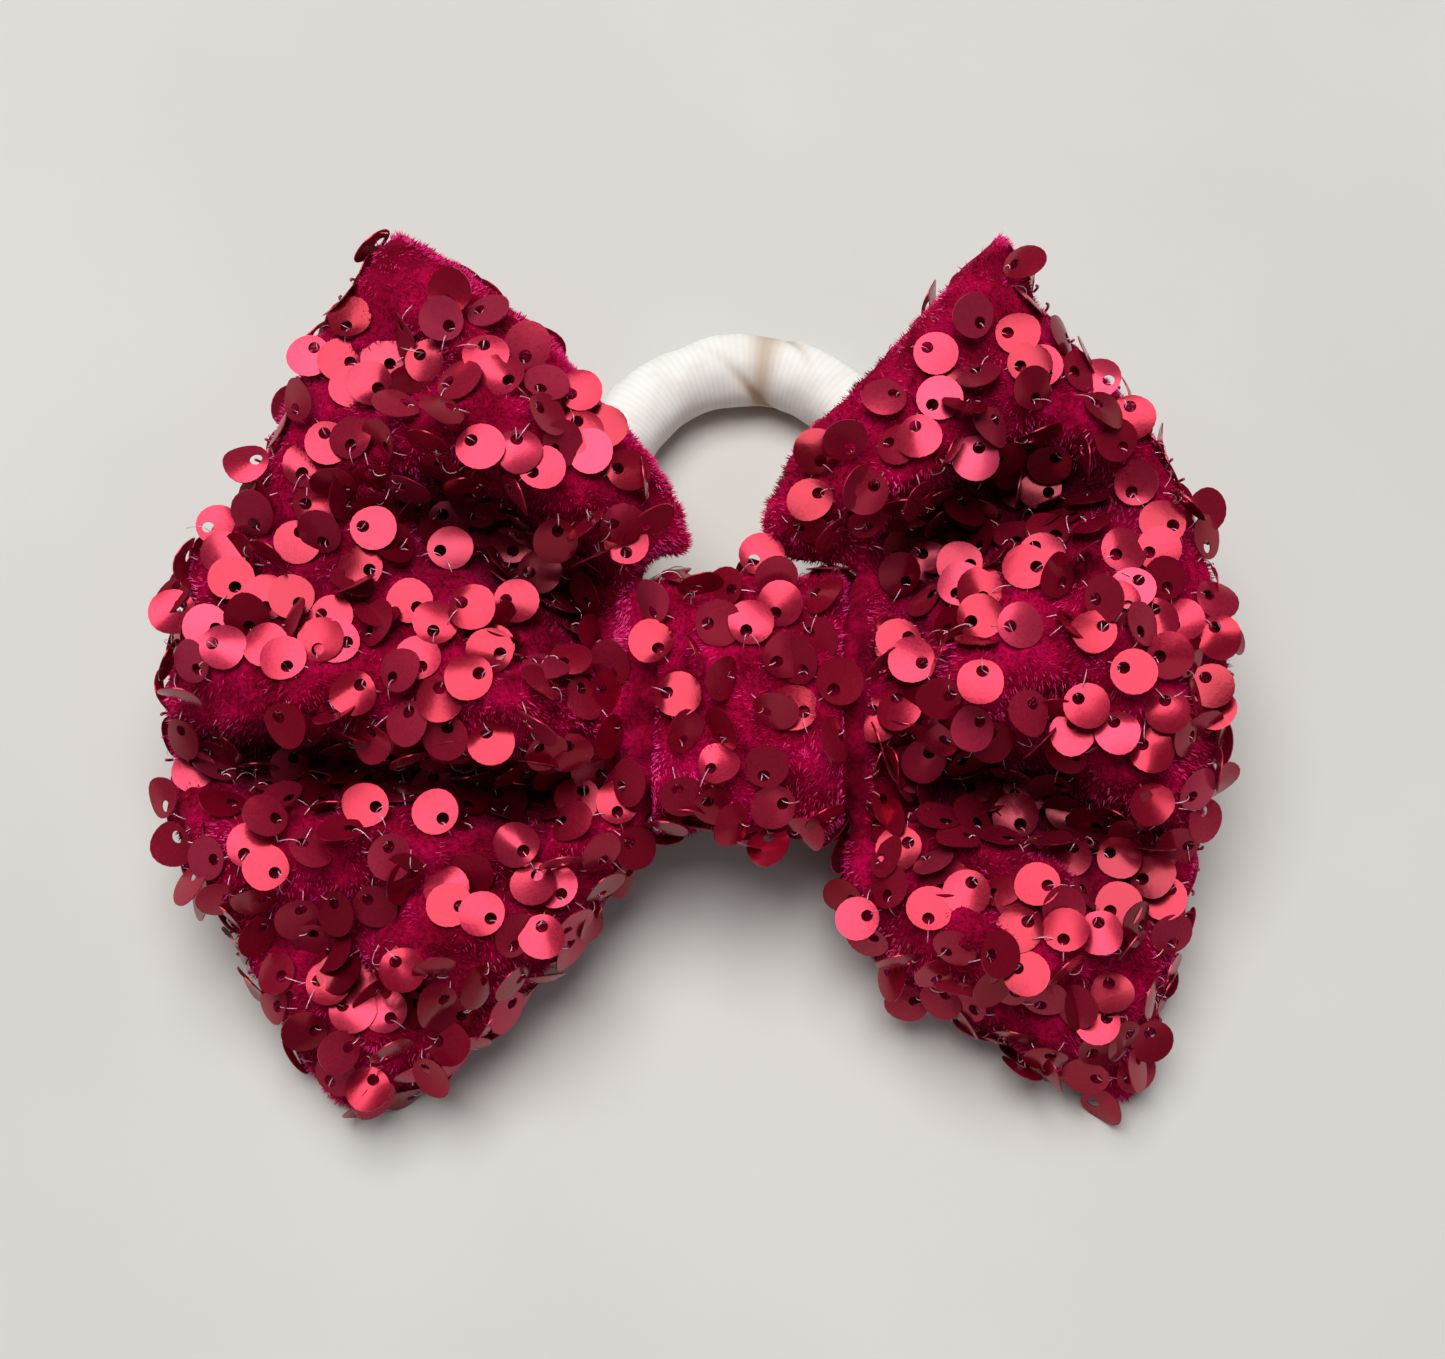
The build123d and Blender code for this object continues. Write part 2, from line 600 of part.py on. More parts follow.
gap = Pos(0, TIE_LENGTH, 0) * Box(JOIN_LENGTH, 4 * TIE_R, 4 * TIE_R)
outer_tube = ring_tube(TIE_R)
void_tube = ring_tube(TIE_R - TIE_WALL)
cover = outer_tube - void_tube - gap
pieces["hair_tie_cover"] = ring_plane * cover
pieces["hair_tie_elastic"] = ring_plane * ring_tube(TIE_CORE_R)

far = TIE_LENGTH - TIE_HALF_WIDTH
half = math.asin((JOIN_LENGTH / 2 - 0.05) / TIE_HALF_WIDTH)
join_out = Pos(TIE_HALF_WIDTH, far, 0) * Rot(90, 0, 0) * Circle(TIE_R + 0.02)
join_in = Pos(TIE_HALF_WIDTH, far, 0) * Rot(90, 0, 0) * Circle(TIE_R - TIE_WALL)
spin = Pos(0, far, 0) * Rot(0, 0, 90 - math.degrees(half)) * Pos(0, -far, 0)
join = revolve(join_out, Axis((0, far, 0), (0, 0, 1)), 2 * math.degrees(half)) \
    - revolve(join_in, Axis((0, far, 0), (0, 0, 1)), 2 * math.degrees(half))
wide = Pos(0, TIE_LENGTH, 0) * Box(JOIN_LENGTH - 0.12, 4 * TIE_R, 4 * TIE_R)
pieces["hair_tie_join"] = ring_plane * (spin * join & wide)


# ---- bring the origin to the middle of the underside and write the pieces -----
def flat_list(x):
    if isinstance(x, (list, tuple)):
        out = []
        for y in x:
            out += flat_list(y)
        return out
    return list(x.solids())


solids = {name: flat_list(p) for name, p in pieces.items()}
boxes = [s.bounding_box() for group in solids.values() for s in group]
low = [min(getattr(b.min, k) for b in boxes) for k in "XYZ"]
high = [max(getattr(b.max, k) for b in boxes) for k in "XYZ"]
shift = (-(low[0] + high[0]) / 2, -(low[1] + high[1]) / 2, -low[2])
print("shift", [round(x, 4) for x in shift])
print("size", [round(b - a, 3) for a, b in zip(low, high)])
print("hinge", [round(a + b, 4) for a, b in zip(hinge, shift)])
for name, group in solids.items():
    moved = [Pos(*shift) * s for s in group]
    thing = moved[0] if len(moved) == 1 else Compound(children=moved)
    thing.label = name
    export_step(thing, "parts/" + name + ".step")
    print(name, len(group), round(sum(s.volume for s in group), 1))
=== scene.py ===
import math
import bpy
import numpy as np
from mathutils import Matrix, Vector
from mathutils.bvhtree import BVHTree
from mathutils.kdtree import KDTree

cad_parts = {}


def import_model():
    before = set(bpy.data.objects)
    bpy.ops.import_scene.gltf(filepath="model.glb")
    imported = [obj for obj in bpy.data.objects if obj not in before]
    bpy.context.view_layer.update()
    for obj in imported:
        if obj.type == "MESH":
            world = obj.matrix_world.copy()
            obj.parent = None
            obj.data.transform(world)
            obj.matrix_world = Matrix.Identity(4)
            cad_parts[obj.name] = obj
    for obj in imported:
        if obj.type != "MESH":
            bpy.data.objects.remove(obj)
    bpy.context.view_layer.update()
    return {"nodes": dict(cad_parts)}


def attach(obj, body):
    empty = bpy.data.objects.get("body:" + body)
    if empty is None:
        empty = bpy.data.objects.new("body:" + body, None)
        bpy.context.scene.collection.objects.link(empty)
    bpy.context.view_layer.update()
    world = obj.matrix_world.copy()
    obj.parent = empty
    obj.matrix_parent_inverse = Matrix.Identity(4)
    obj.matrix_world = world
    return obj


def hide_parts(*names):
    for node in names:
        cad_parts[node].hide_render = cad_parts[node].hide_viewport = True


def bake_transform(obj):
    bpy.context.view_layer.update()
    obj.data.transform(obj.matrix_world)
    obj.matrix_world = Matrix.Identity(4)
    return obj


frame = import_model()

MM = 0.001
RNG = np.random.default_rng(20417)

# ---------------------------------------------------------------------------
# the bow's flat frame: u along the bow, v up its face, w out of its face (mm)
# ---------------------------------------------------------------------------
TILT = math.radians(20.0)
WAIST_HEIGHT = 17.0
SHIFT = np.array([5.3672, -5.6165, 0.0])
CT, ST = math.cos(TILT), math.sin(TILT)
AX_U = np.array([1.0, 0.0, 0.0])
AX_V = np.array([0.0, CT, ST])
AX_W = np.array([0.0, -ST, CT])
WAIST = np.array([0.0, 0.0, WAIST_HEIGHT]) + SHIFT


def world(p):
    """Points (n, 3) in the flat frame, mm, to the row frame, metres."""
    p = np.asarray(p, float)
    return (WAIST + p[..., :1] * AX_U + p[..., 1:2] * AX_V + p[..., 2:3] * AX_W) * MM


def turn(d):
    """Directions in the flat frame to the row frame."""
    d = np.asarray(d, float)
    return d[..., :1] * AX_U + d[..., 1:2] * AX_V + d[..., 2:3] * AX_W


def flat_of(p):
    """Row frame, metres, back to the flat frame, mm."""
    q = np.asarray(p, float) / MM - WAIST
    return np.stack([q @ AX_U, q @ AX_V, q @ AX_W], -1)


# ---------------------------------------------------------------------------
# camera, floor and light
# ---------------------------------------------------------------------------
PX_PER_MM = 9.4
KEY_DIR = (-0.10, 0.25, 1.0)
W_PX, H_PX = 1445.0, 1359.0
AIM = world([[(722.5 - 748.0) / PX_PER_MM, (705.0 - 679.5) / PX_PER_MM, 0.0]])[0]
DIST = 0.235
cam_data = bpy.data.cameras.new("camera")
cam_data.sensor_width = 36.0
cam_data.lens = 36.0 * DIST / (W_PX / PX_PER_MM * MM)
cam_data.clip_start = 0.01
cam_data.clip_end = 20.0
cam = bpy.data.objects.new("camera", cam_data)
bpy.context.scene.collection.objects.link(cam)
zc = Vector(turn([0, 0, 1.0]))
yc = Vector(turn([0, 1.0, 0]))
xc = yc.cross(zc)
rot = Matrix((xc, yc, zc)).transposed().to_4x4()
cam.matrix_world = Matrix.Translation(Vector(AIM) + zc * DIST) @ rot
bpy.context.scene.camera = cam


def new_mesh(name, verts, faces, smooth=True):
    me = bpy.data.meshes.new(name)
    verts = np.asarray(verts, float)
    if isinstance(faces, np.ndarray) and faces.ndim == 2:
        n, k = faces.shape
        me.vertices.add(len(verts))
        me.vertices.foreach_set("co", verts.ravel().astype(np.float32))
        me.loops.add(n * k)
        me.loops.foreach_set("vertex_index", faces.ravel().astype(np.int32))
        me.polygons.add(n)
        me.polygons.foreach_set("loop_start", (np.arange(n) * k).astype(np.int32))
        me.update(calc_edges=True)
    else:
        me.from_pydata([tuple(v) for v in verts], [], [tuple(f) for f in faces])
    me.validate()
    me.polygons.foreach_set("use_smooth", [smooth] * len(me.polygons))
    me.update()
    ob = bpy.data.objects.new(name, me)
    bpy.context.scene.collection.objects.link(ob)
    return ob


def add_attr(ob, name, values, domain="POINT"):
    a = ob.data.attributes.new(name, "FLOAT", domain)
    a.data.foreach_set("value", np.asarray(values, np.float32))


def set_uv(ob, uv):
    layer = ob.data.uv_layers.new(name="OFBake")
    layer.data.foreach_set("uv", np.asarray(uv, np.float32).ravel())


def apply_all(ob):
    """Apply every modifier, leaving a plain mesh."""
    dg = bpy.context.evaluated_depsgraph_get()
    me = bpy.data.meshes.new_from_object(ob.evaluated_get(dg))
    old = ob.data
    ob.modifiers.clear()
    ob.data = me
    bpy.data.meshes.remove(old)
    me.polygons.foreach_set("use_smooth", [True] * len(me.polygons))
    me.update()


def verts_of(ob):
    co = np.zeros(len(ob.data.vertices) * 3, np.float32)
    ob.data.vertices.foreach_get("co", co)
    return co.reshape(-1, 3).astype(float)


def set_verts(ob, co):
    ob.data.vertices.foreach_set("co", np.asarray(co, np.float32).ravel())
    ob.data.update()


def normals_of(ob):
    n = np.zeros(len(ob.data.vertices) * 3, np.float32)
    ob.data.vertices.foreach_get("normal", n)
    return n.reshape(-1, 3).astype(float)


class Waves:
    """Smooth repeatable noise: a sum of plane waves of about one wavelength (mm)."""

    def __init__(self, size, seed, count=26):
        r = np.random.default_rng(seed)
        d = r.normal(size=(count, 3))
        d /= np.linalg.norm(d, axis=1)[:, None]
        self.k = d * (2 * math.pi / (size * r.uniform(0.7, 1.5, count)))[:, None]
        self.p = r.uniform(0, 2 * math.pi, count)
        self.scale = math.sqrt(2.0 / count)

    def __call__(self, p):
        return np.sin(np.asarray(p) @ self.k.T + self.p).sum(-1) * self.scale


# ---------------------------------------------------------------------------
# materials
# ---------------------------------------------------------------------------
class Mat:
    def __init__(self, name):
        self.m = bpy.data.materials.new(name)
        self.m.use_nodes = True
        self.t = self.m.node_tree
        self.bsdf = self.t.nodes["Principled BSDF"]

    def node(self, kind, **props):
        n = self.t.nodes.new(kind)
        for k, v in props.items():
            setattr(n, k, v)
        return n

    def link(self, a, b):
        self.t.links.new(a, b)

    def set(self, **values):
        for k, v in values.items():
            self.bsdf.inputs[k.replace("_", " ")].default_value = v

    def noise(self, scale, detail=3.0, rough=0.55):
        n = self.node("ShaderNodeTexNoise")
        co = self.node("ShaderNodeTexCoord")
        self.link(co.outputs["Object"], n.inputs["Vector"])
        n.inputs["Scale"].default_value = scale
        n.inputs["Detail"].default_value = detail
        n.inputs["Roughness"].default_value = rough
        return n

    def attr(self, name):
        return self.node("ShaderNodeAttribute", attribute_name=name)

    def ramp(self, fac, stops):
        r = self.node("ShaderNodeValToRGB")
        els = r.color_ramp.elements
        while len(els) < len(stops):
            els.new(0.5)
        for e, (pos, col) in zip(els, stops):
            e.position = pos
            e.color = (*col, 1.0)
        self.link(fac, r.inputs["Fac"])
        return r

    def mix(self, fac, a, b, mode="MIX"):
        m = self.node("ShaderNodeMix", data_type="RGBA", blend_type=mode)
        if isinstance(fac, float):
            m.inputs[0].default_value = fac
        else:
            self.link(fac, m.inputs[0])
        for sock, val in ((m.inputs[6], a), (m.inputs[7], b)):
            if isinstance(val, tuple):
                sock.default_value = (*val, 1.0)
            else:
                self.link(val, sock)
        return m.outputs[2]

    def bump(self, height, strength, distance, after=None):
        b = self.node("ShaderNodeBump")
        b.inputs["Strength"].default_value = strength
        b.inputs["Distance"].default_value = distance
        self.link(height, b.inputs["Height"])
        if after is not None:
            self.link(after.outputs["Normal"], b.inputs["Normal"])
        self.link(b.outputs["Normal"], self.bsdf.inputs["Normal"])
        return b

    def math(self, op, a, b=None):
        n = self.node("ShaderNodeMath", operation=op)
        for s, v in zip(n.inputs, (a, b)):
            if v is None:
                continue
            if isinstance(v, (int, float)):
                s.default_value = v
            else:
                self.link(v, s)
        return n.outputs[0]


def velvet_material():
    m = Mat("sequin_velvet")
    big = m.noise(170.0, 3.0)
    fine = m.noise(1500.0, 4.0, 0.7)
    # painted shade: down in the folds the colour is mixed towards near-black
    painted_shade_weight = m.math("MULTIPLY", m.attr("painted_fold_shade").outputs["Fac"], 0.80)
    base = m.ramp(big.outputs["Fac"], [(0.34, (0.200, 0.0001, 0.014)), (0.50, (0.400, 0.0004, 0.040)),
                                       (0.68, (0.660, 0.0012, 0.086))])
    pile = m.ramp(fine.outputs["Fac"], [(0.30, (0.34, 0.30, 0.32)), (0.62, (1.0, 1.0, 1.0))])
    lit = m.mix(1.0, base.outputs["Color"], pile.outputs["Color"], "MULTIPLY")
    m.link(m.mix(painted_shade_weight, lit, (0.012, 0.0001, 0.002)), m.bsdf.inputs["Base Color"])
    m.set(Roughness=0.88, Sheen_Weight=0.30, Sheen_Roughness=0.34, Sheen_Tint=(1.0, 0.02, 0.20, 1.0),
          Specular_IOR_Level=0.05)
    b = m.bump(big.outputs["Fac"], 0.35, 0.0012)
    m.bump(fine.outputs["Fac"], 0.9, 0.00045, b)
    return m.m


def fibre_material():
    m = Mat("velvet_pile")
    r = m.attr("shade")
    # the bright pink end of this ramp also carries the painted highlight on the rim tufts
    c = m.ramp(r.outputs["Fac"], [(0.0, (0.230, 0.0001, 0.020)), (0.40, (0.520, 0.0006, 0.062)),
                                  (0.70, (0.860, 0.0040, 0.150)), (1.0, (1.000, 0.0500, 0.360))])
    # painted shade: down in the folds the tufts' colour is mixed towards near-black
    painted_shade_weight = m.math("MULTIPLY", m.attr("painted_fold_shade").outputs["Fac"], 0.80)
    m.link(m.mix(painted_shade_weight, c.outputs["Color"], (0.020, 0.0001, 0.003)), m.bsdf.inputs["Base Color"])
    m.set(Roughness=0.36, Sheen_Weight=0.35, Sheen_Roughness=0.3, Sheen_Tint=(1.0, 0.03, 0.26, 1.0),
          Specular_IOR_Level=0.22)
    return m.m


def sequin_material():
    m = Mat("satin_sequin")
    r = m.attr("shade")
    c = m.ramp(r.outputs["Fac"], [(0.0, (0.200, 0.0010, 0.012)), (0.35, (0.320, 0.0030, 0.024)),
                                  (0.75, (0.430, 0.0140, 0.050)), (1.0, (0.520, 0.0340, 0.090))])
    grain = m.noise(2600.0, 2.0)
    dust = m.ramp(grain.outputs["Fac"], [(0.35, (0.90, 0.90, 0.90)), (0.65, (1.0, 1.0, 1.0))])
    # painted shade: discs down in the folds have their colour mixed towards near-black
    painted_shade_weight = m.math("MULTIPLY", m.attr("painted_fold_shade").outputs["Fac"], 0.60)
    lit = m.mix(1.0, c.outputs["Color"], dust.outputs["Color"], "MULTIPLY")
    m.link(m.mix(painted_shade_weight, lit, (0.030, 0.0003, 0.003)), m.bsdf.inputs["Base Color"])
    rough = m.node("ShaderNodeMapRange")
    m.link(grain.outputs["Fac"], rough.inputs["Value"])
    rough.inputs["From Min"].default_value = 0.3
    rough.inputs["From Max"].default_value = 0.7
    rough.inputs["To Min"].default_value = 0.15
    rough.inputs["To Max"].default_value = 0.22
    m.link(m.math("ADD", rough.outputs["Result"], m.math("MULTIPLY", r.outputs["Fac"], 0.14)), m.bsdf.inputs["Roughness"])
    m.set(Metallic=0.50, Coat_Weight=0.06, Coat_Roughness=0.12, Coat_IOR=1.5, Specular_IOR_Level=0.26)
    m.bump(grain.outputs["Fac"], 0.25, 0.00003)
    return m.m


def thread_material():
    m = Mat("clear_thread")
    n = m.noise(900.0, 1.0)
    c = m.ramp(n.outputs["Fac"], [(0.3, (0.70, 0.22, 0.34)), (0.7, (0.96, 0.66, 0.74))])
    m.link(c.outputs["Color"], m.bsdf.inputs["Base Color"])
    m.set(Roughness=0.16, Specular_IOR_Level=1.0, Coat_Weight=1.0, Coat_Roughness=0.06)
    return m.m


def seam_thread_material():
    m = Mat("seam_thread")
    n = m.noise(1800.0, 2.0)
    c = m.ramp(n.outputs["Fac"], [(0.3, (0.36, 0.004, 0.07)), (0.7, (0.62, 0.02, 0.16))])
    m.link(c.outputs["Color"], m.bsdf.inputs["Base Color"])
    m.set(Roughness=0.5)
    m.bump(n.outputs["Fac"], 0.4, 0.0001)
    return m.m


def knit_material():
    m = Mat("hair_tie_knit")
    along, around = m.attr("along"), m.attr("around")
    rib = m.math("SINE", m.math("MULTIPLY", around.outputs["Fac"], 2 * math.pi * 46))
    stitch = m.math("SINE", m.math("ADD", m.math("MULTIPLY", along.outputs["Fac"], 2 * math.pi / 0.75),
                                   m.math("MULTIPLY", m.math("ABSOLUTE", rib), 1.6)))
    height = m.math("ADD", m.math("MULTIPLY", m.math("ABSOLUTE", rib), 0.6), m.math("MULTIPLY", stitch, 0.4))
    n = m.noise(260.0, 3.0)
    base = m.ramp(n.outputs["Fac"], [(0.3, (0.85, 0.840, 0.79)), (0.5, (0.91, 0.91, 0.875)), (0.75, (0.95, 0.955, 0.93))])
    # painted shade: brown is mixed into the colour at the tucked join and in the creases beside it
    painted_crease_shade = m.attr("fold")
    knit_with_crease_shade = m.mix(painted_crease_shade.outputs["Fac"], base.outputs["Color"], (0.50, 0.36, 0.24))
    # painted shade: the colour is a little darker in the grooves between the knit ribs
    shade = m.ramp(height, [(0.0, (0.94, 0.935, 0.925)), (0.75, (1.0, 1.0, 1.0))])
    m.link(m.mix(1.0, knit_with_crease_shade, shade.outputs["Color"], "MULTIPLY"), m.bsdf.inputs["Base Color"])
    m.set(Roughness=0.78, Sheen_Weight=0.25, Sheen_Roughness=0.4, Specular_IOR_Level=0.25)
    m.bump(height, 0.25, 0.00006)
    return m.m


def floor_material():
    m = Mat("pale_table")
    n = m.noise(9.0, 4.0)
    c = m.ramp(n.outputs["Fac"], [(0.3, (0.60, 0.585, 0.56)), (0.7, (0.66, 0.645, 0.62))])
    m.link(c.outputs["Color"], m.bsdf.inputs["Base Color"])
    m.set(Roughness=0.55, Specular_IOR_Level=0.3)
    # a studio sweep stays pale as it runs away from the lamp
    far = m.node("ShaderNodeVectorMath", operation="LENGTH")
    m.link(m.node("ShaderNodeTexCoord").outputs["Object"], far.inputs[0])
    fade = m.node("ShaderNodeMapRange")
    m.link(far.outputs["Value"], fade.inputs["Value"])
    fade.inputs["From Min"].default_value = 0.35
    fade.inputs["From Max"].default_value = 1.60
    fade.inputs["To Min"].default_value = 0.0
    fade.inputs["To Max"].default_value = 0.62
    m.link(c.outputs["Color"], m.bsdf.inputs["Emission Color"])
    m.link(fade.outputs["Result"], m.bsdf.inputs["Emission Strength"])
    return m.m


VELVET, PILE, SEQUIN = velvet_material(), fibre_material(), sequin_material()
THREAD, SEAM, KNIT, FLOOR = thread_material(), seam_thread_material(), knit_material(), floor_material()

# ---------------------------------------------------------------------------
# the wings
# ---------------------------------------------------------------------------
LEFT = {
    "top": [(13.0, 6.5), (12.4, 11.5), (10.8, 14.9), (7.6, 16.2), (6.6, 19.0),
            (10.4, 26.1), (15.7, 32.4), (20.0, 37.8), (28.0, 44.4), (37.4, 51.0)],
    "outer": [(37.4, 51.0), (42.9, 43.1), (48.5, 32.0), (53.6, 21.8), (58.4, 15.0),
              (61.4, 2.0), (60.6, -8.0), (57.9, -17.6), (51.5, -30.0), (44.0, -42.9)],
    "low": [(44.0, -42.9), (33.8, -40.2), (25.3, -32.4), (18.9, -26.1),
            (14.6, -19.7), (11.8, -15.2), (12.2, -11.0), (13.0, -6.5)],
}
RIGHT = {
    "top": [(13.0, 6.5), (12.2, 11.5), (10.4, 14.9), (5.6, 15.4), (2.0, 17.2),
            (1.6, 21.0), (5.0, 27.0), (11.1, 33.2), (18.8, 41.8), (27.0, 50.5)],
    "outer": [(27.0, 50.5), (32.8, 40.0), (39.6, 32.4), (46.4, 22.0), (49.2, 12.0),
              (50.8, 5.0), (48.4, -10.1), (46.3, -21.0), (43.8, -31.4), (41.0, -42.5)],
    "low": [(41.0, -42.5), (33.2, -39.6), (26.8, -35.6), (19.4, -31.4), (14.0, -28.0),
            (11.2, -22.5), (9.8, -16.6), (12.0, -11.2), (13.0, -6.5)],
}
# folds: path, height along it, half width
LEFT_FRONT = [
    ([(9.0, 15.0), (22.0, 28.0), (37.0, 43.0)], (3.5, 4.5, 1.0), 7.0),
    ([(12.0, 0.5), (24.0, 0.0), (38.0, 2.5), (57.0, 3.5)], (3.5, 6.0, 5.5, 2.5), 6.0),
    ([(14.0, -16.0), (30.0, -26.0), (42.0, -36.0)], (4.0, 5.0, 1.0), 7.5),
    ([(11.0, 7.0), (17.0, 11.5), (24.0, 16.5), (33.0, 20.5), (43.0, 21.5)], (-9.0, -14.0, -14.5, -9.5, -2.0), 3.9),
    ([(14.0, -8.0), (24.0, -9.5), (34.0, -8.0), (47.0, -5.5), (58.0, -6.0)], (-9.0, -13.0, -8.0, -11.5, -7.0), 3.4),
    ([(20.0, 23.0), (30.0, 27.0), (42.0, 29.0)], (1.5, 2.5, 0.0), 3.5),
    ([(30.0, -12.0), (44.0, -15.0), (55.0, -16.0)], (2.0, 3.0, 1.5), 4.5),
    ([(26.0, -34.0), (36.0, -30.0), (48.0, -24.0)], (-2.0, -4.5, -2.0), 2.8),
    ([(17.0, -17.5), (27.0, -19.0), (38.0, -18.5)], (-3.5, -5.0, -1.0), 2.6),
    ([(15.0, 3.5), (24.0, 6.0), (30.0, 6.5)], (-4.0, -3.5, -0.5), 2.2),
    ([(30.0, 33.0), (36.0, 36.0), (44.0, 35.0)], (-1.5, -4.0, -1.0), 2.8),
    ([(44.0, 4.0), (50.0, 9.0), (55.0, 15.0)], (-0.5, -3.5, -1.5), 2.8),
]
RIGHT_FRONT = [
    ([(5.0, 20.0), (13.0, 26.0), (22.0, 38.0)], (4.5, 4.5, 1.0), 6.0),
    ([(14.0, 1.0), (26.0, 5.5), (38.0, 5.0), (48.0, 1.0)], (3.5, 6.5, 5.5, 2.5), 6.5),
    ([(13.0, -18.0), (26.0, -25.0), (38.0, -35.0)], (4.0, 5.0, 1.0), 7.5),
    ([(11.5, 9.0), (17.0, 15.5), (24.0, 20.5), (33.0, 23.0), (39.0, 22.0)], (-9.0, -13.0, -15.0, -11.0, -3.0), 4.5),
    ([(14.0, -7.5), (24.0, -9.0), (33.0, -11.5), (43.0, -15.5)], (-8.0, -12.5, -12.5, -6.0), 3.7),
    ([(28.0, 34.0), (35.0, 29.0), (42.0, 25.0)], (1.0, 3.0, 1.0), 3.6),
    ([(18.0, -28.0), (30.0, -31.0), (40.0, -27.0)], (-2.0, -4.5, -2.0), 2.7),
    ([(15.0, 5.0), (22.0, 8.0), (29.0, 10.5)], (-4.0, -4.0, -0.5), 2.3),
    ([(14.0, -15.0), (23.0, -19.0), (32.0, -21.0)], (-3.5, -4.5, -1.0), 2.6),
    ([(10.0, 21.0), (16.0, 29.0), (22.0, 33.0)], (-0.5, -3.5, -1.0), 2.6),
]
BACK = [
    ([(14.0, 8.0), (26.0, 20.0), (36.0, 36.0)], (-0.5, -2.0, -0.5), 5.0),
    ([(14.0, -8.0), (26.0, -15.0), (38.0, -30.0)], (-1.0, -2.5, -0.5), 5.0),
    ([(14.0, 0.0), (30.0, -1.0), (44.0, 0.0)], (1.0, 0.5, 0.5), 5.0),
]
FRONT_BASE, BACK_BASE, BACK_BULGE = 8.5, 7.0, 10.2


def catmull(points, per):
    pts = np.asarray(points, float)
    ext = np.vstack([2 * pts[0] - pts[1], pts, 2 * pts[-1] - pts[-2]])
    out = []
    for i in range(1, len(ext) - 2):
        a, b, c, d = ext[i - 1], ext[i], ext[i + 1], ext[i + 2]
        for k in range(per):
            t = k / per
            out.append(0.5 * (2 * b + (c - a) * t + (2 * a - 5 * b + 4 * c - d) * t * t
                              + (3 * b - a - 3 * c + d) * t ** 3))
    out.append(pts[-1])
    return np.array(out)


def path_near(p, path, values=None):
    """Distance of points (n, 2) from a path and the value at the nearest point."""
    path = np.asarray(path, float)
    best = np.full(len(p), 1e9)
    value = np.zeros(len(p))
    for i in range(len(path) - 1):
        a, d = path[i], path[i + 1] - path[i]
        t = np.clip(((p - a) @ d) / (d @ d), 0, 1)
        dist = np.hypot(p[:, 0] - a[0] - t * d[0], p[:, 1] - a[1] - t * d[1])
        closer = dist < best
        best = np.where(closer, dist, best)
        if values is not None:
            value = np.where(closer, values[i] + (values[i + 1] - values[i]) * t, value)
    return best, value


def smooth(x):
    x = np.clip(x, 0, 1)
    return x * x * (3 - 2 * x)


def resample(line, n, close=False):
    line = np.asarray(line, float)
    if close:
        line = np.vstack([line, line[:1]])
    d = np.r_[0, np.cumsum(np.linalg.norm(np.diff(line, axis=0), axis=1))]
    want = np.linspace(0, d[-1], n, endpoint=not close)
    return np.stack([np.interp(want, d, line[:, k]) for k in range(line.shape[1])], -1)


class WingShape:
    def __init__(self, side, outline, centre, front_folds, seed):
        self.side, self.centre, self.folds, self.seed = side, np.array(centre), front_folds, seed
        self.top = catmull(outline["top"], 8)
        self.outer = catmull(outline["outer"], 8)
        self.low = catmull(outline["low"], 8)
        self.n1, self.n2 = Waves(15.0, seed), Waves(6.5, seed + 1)
        self.n3 = Waves(3.2, seed + 2)

    def edge(self, p):
        d1, _ = path_near(p, self.top)
        d2, _ = path_near(p, self.outer)
        d3, _ = path_near(p, self.low)
        e = 1.0
        for d, r in ((d1, 10.0), (d2, 13.0), (d3, 11.0)):
            x = np.clip(d / r, 0, 1)
            e = e * np.sqrt(np.clip(1 - (1 - x) ** 2, 0, 1))
        return e

    def seam(self, p):
        v = p[:, 1]
        return -2.0 * smooth((-v - 18.0) / 24.0) - 1.5 * smooth((v - 25.0) / 25.0)

    def relief(self, p, e, side):
        a, v = p[:, 0], p[:, 1]
        if side > 0:
            h = np.full(len(p), FRONT_BASE)
            for path, values, width in self.folds:
                d, value = path_near(p, path, values)
                h = h + value * np.exp(-(d / width) ** 2)
            h = np.where(h > 0.5, h, 0.5 + 0.62 * (h - 0.5))
        else:
            h = np.full(len(p), BACK_BASE)
            for path, values, width in BACK:
                d, value = path_near(p, path, values)
                h = h + value * np.exp(-(d / width) ** 2)
            h = h + BACK_BULGE * np.exp(-((a - 38.0) / 14.0) ** 2 - ((v + 2.0) / 19.0) ** 2) \
                * smooth((a - 15.0) / 14.0)
        # gathers fan out of the waist
        rho = np.hypot(a - 4.0, v)
        phi = np.arctan2(v, a - 4.0)
        q3 = np.stack([a, v, np.full(len(a), 37.0 * side)], -1)
        pleat = np.sin(phi * 13.0 + 1.3 * self.n1(q3) + self.seed) * np.exp(-np.maximum(rho - 9.0, 0) / 9.0)
        h = h + 1.15 * pleat
        h = h + 0.85 * self.n1(q3) + 0.50 * self.n2(q3) + 0.20 * self.n3(q3)
        if side < 0:
            cap = 5.3 + 14.0 * smooth((a - 23.0) / 9.0) + 14.0 * smooth((np.abs(v) - 27.0) / 9.0)
            h = np.maximum(np.minimum(h, cap), 0.8)
        else:
            h = np.maximum(h, -4.0) * (0.62 + 0.38 * smooth((a - 11.0) / 12.0))
        return h * e

    def limit(self, p):
        """Depth at which the underside meets the table."""
        return (WAIST_HEIGHT + p[:, 1] * ST) / CT + self.seam(p) - 0.15


